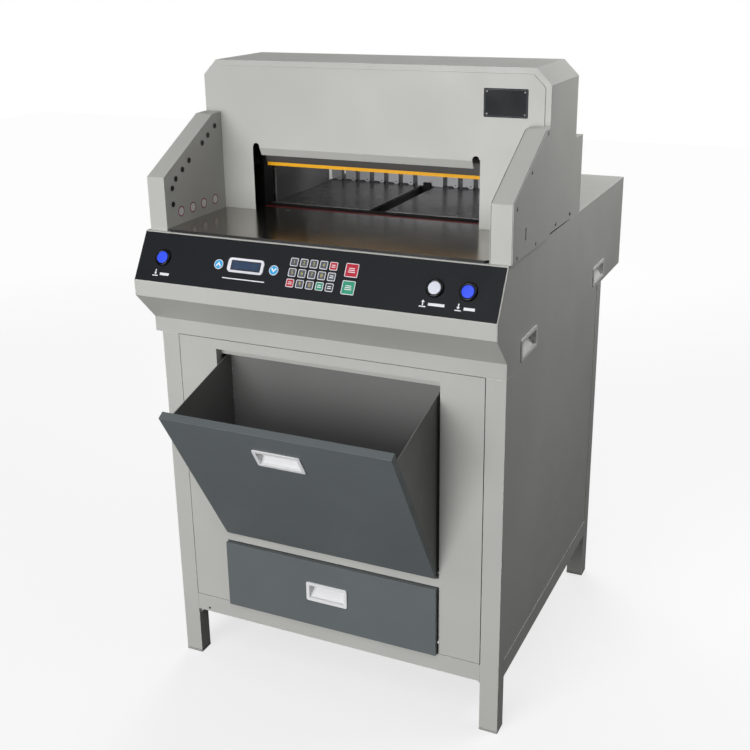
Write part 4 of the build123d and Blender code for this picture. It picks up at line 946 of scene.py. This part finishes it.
class CUTTER_OT_bin_and_drawer(bpy.types.Operator):
    """Finishes the tilting bin, the drawer, their pulls and the side grips"""
    bl_idname = "cutter.bin_and_drawer"
    bl_label = "Bin and drawer"

    def execute(self, context):
        edge = context.scene.cutter_sizes.sheet_edge / MM
        for node in ("bin_front", "drawer_front", "drawer_box"):
            softened(node, "slate_paint", edge)
        # The bin's body gets a lighter grey: painted light inside the bin
        softened("bin_body", "slate_paint", edge, look="bin_grey_painted_light")
        for node in ("bin_handle", "drawer_handle"):
            softened(node, "white_plastic", edge)
        # The grips take a grey copy of the white plastic: painted shade
        for node in ("left_grips", "right_grips"):
            softened(node, "white_plastic", edge, look="grip_white_painted_shade")
        self.welds()
        return {"FINISHED"}

    def welds(self):
        """Small bare welds of uneven size down the rear corners of the bin."""
        bm = bmesh.new()
        back = at(0, WELD_BACK, 0).y
        for side, corner in WELD_CORNERS:
            x = at(corner, 0, 0).x + side * WELD_INSET * MM
            for number in range(WELD_COUNT):
                height = WELD_TOP - number * WELD_PITCH - 5 * sin(number * 2.3)
                radius = 1.1 + 0.4 * sin(number * 1.7)
                verts = bmesh.ops.create_icosphere(bm, subdivisions=1, radius=radius * MM)["verts"]
                bmesh.ops.scale(bm, vec=(1, 1, 2.2 + sin(number * 3.1)), verts=verts)
                bmesh.ops.translate(bm, vec=(x, back, height * MM), verts=verts)
        piece("bin_welds", bm, ["screw_steel"], "waste_bin", angle=60)


class CUTTER_OT_console(bpy.types.Operator):
    """Makes the buttons, keys and display of the control panel"""
    bl_idname = "cutter.console"
    bl_label = "Control panel"

    def execute(self, context):
        softened("control_overlay", "overlay", OVERLAY_EDGE)
        self.buttons()
        self.keys()
        self.display()
        self.signs()
        return {"FINISHED"}

    def buttons(self):
        """Round caps on stems, with a collar and a closed switch below each."""
        collars = bmesh.new()
        for node, x, body, slot in BUTTONS:
            place = on_console(x, BUTTON_SLOPE)
            lathe(collars, COLLAR_PROFILE, place, 48)
            lathe(collars, SWITCH_PROFILE, place, 24)
            cap = bmesh.new()
            lathe(cap, CAP_PROFILE, place, 48)
            piece(node + "_cap", cap, [slot], body, (node,), 50)
        piece("button_collars", collars, ["collar_black"], "root", ("button_switches",), 50)

    def keys(self):
        """Three rows of small keys, two large keys and two arrow keys."""
        bm = bmesh.new()
        for row, names in enumerate(KEY_ROWS):
            for column, name in enumerate(names):
                place = on_console(KEY_FIRST[0] + column * KEY_PITCH[0], KEY_FIRST[1] + row * KEY_PITCH[1])
                self.one_key(bm, place, KEY_SIZE, name)
                if name.isdigit():
                    add_number(bm, name, NUMBER_SIZE, moved(place, 0, 0, NUMBER_LIFT),
                               KEYPAD.index("print_yellow"))
                else:
                    self.bars(bm, place, *KEY_BARS)
        for slope, name in LARGE_KEYS:
            place = on_console(LARGE_KEY_X, slope)
            self.one_key(bm, place, LARGE_KEY_SIZE, name)
            self.bars(bm, place, *LARGE_KEY_BARS)
        for x, way in ARROWS:
            self.arrow_key(bm, on_console(x, ARROW_SLOPE), way)
        piece("membrane_keypad", bm, KEYPAD, "root", ("membrane_keys",))

    def one_key(self, bm, place, size, name):
        """Embossed key: pale border round a coloured, slightly sunk field."""
        faces = slab(bm, place, size, size, OVERLAY, KEY_TOP, KEY_CORNER, 4, KEY_ROLL)
        inset_top(bm, faces, place, KEY_BORDER, KEY_SINK, KEYPAD.index(KEY_LOOKS.get(name, "key_slate")))

    def bars(self, bm, place, width, rows):
        """Plain printed bars, each a little shorter than the one below it."""
        for number in range(rows):
            lift = (number - (rows - 1) / 2) * BAR_PITCH
            slab(bm, moved(place, 0, lift), width - number * BAR_STEP, BAR_WIDTH, *BAR_HEIGHTS)

    def arrow_key(self, bm, place, way):
        """Round key with a chevron that points up or down."""
        lathe(bm, ARROW_PROFILE, place, 40,
              lambda away, up: 0 if away > ARROW_RIM else KEYPAD.index("arrow_cyan"))
        chevron = [(x * CHEVRON_SCALE, (y * CHEVRON_SCALE + CHEVRON_LIFT) * way) for x, y in CHEVRON]
        flat_shape(bm, chevron, place, *CHEVRON_HEIGHTS)

    def display(self):
        """Silver frame with a dark surround and a lit window."""
        bm = bmesh.new()
        place = on_console(DISPLAY_X, DISPLAY_SLOPE)
        faces = slab(bm, place, *DISPLAY_FRAME, OVERLAY, DISPLAY_TOP, DISPLAY_CORNER, 8, DISPLAY_ROLL)
        inset_top(bm, faces, place, DISPLAY_BORDER, DISPLAY_SINK, 0)
        slab(bm, place, *DISPLAY_SURROUND, segments=2, index=1)
        slab(bm, place, *DISPLAY_WINDOW, segments=2, index=2)
        piece("display", bm, ["display_frame", "display_dark", "display_glass"], "root",
              ("display_bezel", "display_screen"))

    def signs(self):
        """Plain signs by the buttons, each an arrow, a line and a bar, and a line under the display."""
        bm = bmesh.new()
        for x, slope, down, shift, width in SIGNS:
            place = on_console(x, slope)
            arrow = SIGN_ARROW if down else [(across, SIGN_MIRROR - up) for across, up in SIGN_ARROW]
            flat_shape(bm, arrow, place, OVERLAY, PRINT_TOP)
            slab(bm, moved(place, 0, SIGN_FOOT[0]), *SIGN_FOOT[1:], OVERLAY, PRINT_TOP)
            slab(bm, moved(place, *shift), width, SIGN_BAR_HEIGHT, OVERLAY, PRINT_TOP)
        slope, width, height = DISPLAY_LINE
        slab(bm, on_console(DISPLAY_X, slope), width, height, OVERLAY, PRINT_TOP)
        piece("panel_signs", bm, ["print_white"], "root")


class CUTTER_OT_table(bpy.types.Operator):
    """Finishes the tables, the side gauges, the cutting stick and the casting"""
    bl_idname = "cutter.table"
    bl_label = "Tables"

    def execute(self, context):
        edge = context.scene.cutter_sizes.steel_edge / MM
        softened("front_table", "table_steel", edge * FINE_EDGE, front_look="clamp_steel")
        for node in ("rear_table_left", "rear_table_right"):
            softened(node, "table_steel", edge, look="rear_table_steel")
        softened("side_gauges", "table_steel", edge, look="gauge_steel")
        # The casting stays as meshed, because softening its edges would fill the gauge's slot
        softened("table_base", "casting", 0)
        softened("cutting_stick", "red_stick", STICK_EDGE)
        return {"FINISHED"}


class CUTTER_OT_press(bpy.types.Operator):
    """Finishes the press frame, the knife and the clamp"""
    bl_idname = "cutter.press"
    bl_label = "Press"

    def execute(self, context):
        edge = context.scene.cutter_sizes.steel_edge / MM
        for node in ("press_frame", "knife_beam", "clamp_beam"):
            softened(node, "clamp_steel", edge)
        softened("knife_blade", "knife_steel", KNIFE_EDGE)
        softened("clamp_strip", "yellow_strip", STRIP_EDGE)
        return {"FINISHED"}


class CUTTER_OT_back_gauge(bpy.types.Operator):
    """Makes the comb, and finishes its carriage and its screw"""
    bl_idname = "cutter.back_gauge"
    bl_label = "Back gauge"

    def execute(self, context):
        edge = context.scene.cutter_sizes.steel_edge / MM
        self.comb()
        softened("gauge_carriage", "casting", edge, change=self.neck)
        softened("gauge_screw", "zinc", edge)
        return {"FINISHED"}

    def neck(self, bm):
        """Narrows the carriage and its pointer where they stand above the table's slot."""
        low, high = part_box("gauge_carriage")
        middle = (low.x + high.x) / 2
        half = (high.x - low.x) / 2
        pointer = POINTER_CAD_WIDTH / 2 * MM
        for height in NECK_CUTS:
            bmesh.ops.bisect_plane(bm, geom=bm.verts[:] + bm.edges[:] + bm.faces[:],
                                   plane_co=(0, 0, height * MM), plane_no=(0, 0, 1))
        for vert in bm.verts:
            if vert.co.z > (NECK_CUTS[1] - 0.5) * MM:
                across = vert.co.x - middle
                wide = abs(across) > pointer * 1.05
                share = NECK_WIDTH * MM / 2 / half if wide else POINTER_WIDTH * MM / 2 / pointer
                vert.co.x = middle + across * share

    def comb(self):
        """Plates with a rounded screwed tab at their right foot, a wide middle plate and the beam behind."""
        bm = bmesh.new()
        low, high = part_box("gauge_comb")
        width = (high.x - low.x) / MM
        height = (high.z - low.z) / MM
        place = facing(low, FRONT)
        slab(bm, moved(place, width / 2, (height + COMB_BEAM_LIFT) / 2), width, height - COMB_BEAM_LIFT,
             -COMB_DEPTH, -COMB_PLATE_DEPTH, soft=0.5)
        for number in range(COMB_PLATES):
            if number not in COMB_MIDDLE:
                left = number * COMB_PITCH
                self.comb_plate(bm, place, left, min(left + COMB_PLATE, width), height)
        left = COMB_MIDDLE[0] * COMB_PITCH
        right = COMB_MIDDLE[1] * COMB_PITCH + COMB_PLATE
        middle = (sum(corner.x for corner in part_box("gauge_carriage")) / 2 - low.x) / MM
        neck = NECK_WIDTH / 2 + 0.5
        outline = [(left, 0), (middle - neck, 0), (middle - neck, COMB_NOTCH), (middle + neck, COMB_NOTCH),
                   (middle + neck, 0), (right, 0), (right, height), (left, height)]
        flat_shape(bm, outline, place, -COMB_DEPTH, 0)
        piece("gauge_comb_finished", bm, ["comb_alloy", "black_plastic"], "back_gauge",
              ("gauge_comb",))

    def comb_plate(self, bm, place, left, right, height):
        """One plate of the comb, with the screw in its tab."""
        tab = right - COMB_TAB
        outline = [(left, COMB_FOOT), (tab, COMB_FOOT), (tab + 0.8, 1.2), (tab + 3, 0), (right - 3, 0),
                   (right - 0.8, 1.2), (right, 3.4), (right, height), (left, height)]
        flat_shape(bm, outline, place, -COMB_PLATE_DEPTH, 0)
        # The screw's socket takes the black finish: painted shade in the recess
        lathe(bm, COMB_SCREW_PROFILE, moved(place, right - COMB_TAB / 2, COMB_SCREW_LIFT), 18,
              lambda away, up: 1 if away < COMB_SCREW_SOCKET else 0)


class CUTTER_OT_fixings(bpy.types.Operator):
    """Makes the screws, the sensor lenses and the plain discs and plate"""
    bl_idname = "cutter.fixings"
    bl_label = "Fixings"

    def execute(self, context):
        sizes = context.scene.cutter_sizes
        self.cover_screws(sizes.screw_radius / MM, sizes.screw_height / MM)
        self.table_screws()
        self.sensor_lenses()
        self.cheek_discs()
        self.head_plate()
        return {"FINISHED"}

    def cover_screws(self, radius, height):
        """Screws in the right guard's pockets and on the head's right side, on discs of painted shade."""
        bm = bmesh.new()
        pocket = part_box("right_guard")[1].x - POCKET_DEPTH * MM
        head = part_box("head_shell")[1].x
        for x, places, rise in ((pocket, SIDE_SCREWS, POCKET_DEPTH * 0.9), (head, HEAD_SCREWS, height)):
            for y, z in places:
                place = facing(beside(x, y, z), RIGHT)
                shade_disc(bm, place, SHADE_DISC_RADIUS)
                pan_screw(bm, place, radius, rise)
        piece("cover_screws", bm, ["screw_steel", "collar_black"], "root")

    def table_screws(self):
        """Low screw heads in the tables."""
        bm = bmesh.new()
        for x, y in TABLE_SCREWS:
            pan_screw(bm, facing(at(x, y, TABLE_TOP), UP, -FRONT), TABLE_SCREW_RADIUS, TABLE_SCREW_HEIGHT)
        piece("table_screws", bm, ["screw_steel", "black_plastic"], "root")

    def sensor_lenses(self):
        """Dark lenses in the inner faces of both guards."""
        bm = bmesh.new()
        for node, side, inner in (("left_guard", 1, 1), ("right_guard", -1, 0)):
            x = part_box(node)[inner].x - side * SENSOR_SINK * MM
            for y, z in SENSORS:
                lathe(bm, LENS_PROFILE, facing(beside(x, y, z), side * RIGHT), 20)
        piece("sensor_lenses", bm, ["black_plastic"], "root")

    def cheek_discs(self):
        """Plain discs with a ring, on the left guard's inner face."""
        bm = bmesh.new()
        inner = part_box("left_guard")[1].x
        for y in CHEEK_DISCS:
            lathe(bm, DISC_PROFILE, facing(beside(inner, y, DISC_HEIGHT), RIGHT), 40,
                  lambda away, up: 1 if away > DISC_RING else 0)
        piece("cheek_discs", bm, ["disc_white", "print_red"], "root")

    def head_plate(self):
        """Plain dark plate with a thin line round it and four rivets."""
        bm = bmesh.new()
        point = at(PLATE_PLACE[0], 0, PLATE_PLACE[1])
        point.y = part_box("head_front_plate")[0].y
        place = facing(point, FRONT)
        for width, height, low, high, corner, soft, index in PLATE_LAYERS:
            slab(bm, place, width, height, low, high, corner, 3, soft, index)
        for x in RIVET_X:
            for y in RIVET_Y:
                lathe(bm, RIVET_PROFILE, moved(place, x, y), 16, lambda away, up: 2)
        piece("head_plate_plain", bm, ["overlay", "key_slate", "screw_steel"], "root")


class CUTTER_OT_inner_works(bpy.types.Operator):
    """Gives the hidden drives, the board and the slides their finishes"""
    bl_idname = "cutter.inner_works"
    bl_label = "Inner works"

    def execute(self, context):
        inside = {
            "drive_unit": "drive_paint", "clamp_drive": "drive_paint", "gauge_motor": "drive_paint",
            "control_board": "board", "bin_pins": "zinc", "drawer_runners": "zinc", "drawer_slides": "zinc",
        }
        for node, slot in inside.items():
            mesh = frame["nodes"][node].data
            mesh.materials.clear()
            mesh.materials.append(finish(slot))
        return {"FINISHED"}


class CUTTER_PT_sidebar(bpy.types.Panel):
    """Lists the machine's pieces, sizes and colours"""
    bl_idname = "CUTTER_PT_sidebar"
    bl_label = "Paper Cutter"
    bl_space_type = "VIEW_3D"
    bl_region_type = "UI"
    bl_category = "Paper Cutter"

    def draw(self, context):
        column = self.layout.column()
        for operator in OPERATORS:
            column.operator(operator.bl_idname)
        for group in (context.scene.cutter_sizes, context.scene.cutter_colours):
            for name in group.bl_rna.properties.keys():
                if name not in ("rna_type", "name"):
                    column.prop(group, name)


OPERATORS = (
    CUTTER_OT_stage, CUTTER_OT_stand, CUTTER_OT_body, CUTTER_OT_head, CUTTER_OT_bin_and_drawer,
    CUTTER_OT_console, CUTTER_OT_table, CUTTER_OT_press, CUTTER_OT_back_gauge, CUTTER_OT_fixings,
    CUTTER_OT_inner_works,
)
CLASSES = (CutterSizes, CutterColours) + OPERATORS + (CUTTER_PT_sidebar,)


def register():
    for item in CLASSES:
        bpy.utils.register_class(item)
    bpy.types.Scene.cutter_sizes = PointerProperty(type=CutterSizes)
    bpy.types.Scene.cutter_colours = PointerProperty(type=CutterColours)


def unregister():
    del bpy.types.Scene.cutter_colours
    del bpy.types.Scene.cutter_sizes
    for item in reversed(CLASSES):
        bpy.utils.unregister_class(item)


def main():
    register()
    bpy.ops.cutter.stage()
    bpy.ops.cutter.stand()
    bpy.ops.cutter.body()
    bpy.ops.cutter.head()
    bpy.ops.cutter.bin_and_drawer()
    bpy.ops.cutter.console()
    bpy.ops.cutter.table()
    bpy.ops.cutter.press()
    bpy.ops.cutter.back_gauge()
    bpy.ops.cutter.fixings()
    bpy.ops.cutter.inner_works()


if __name__ == "__main__":
    main()
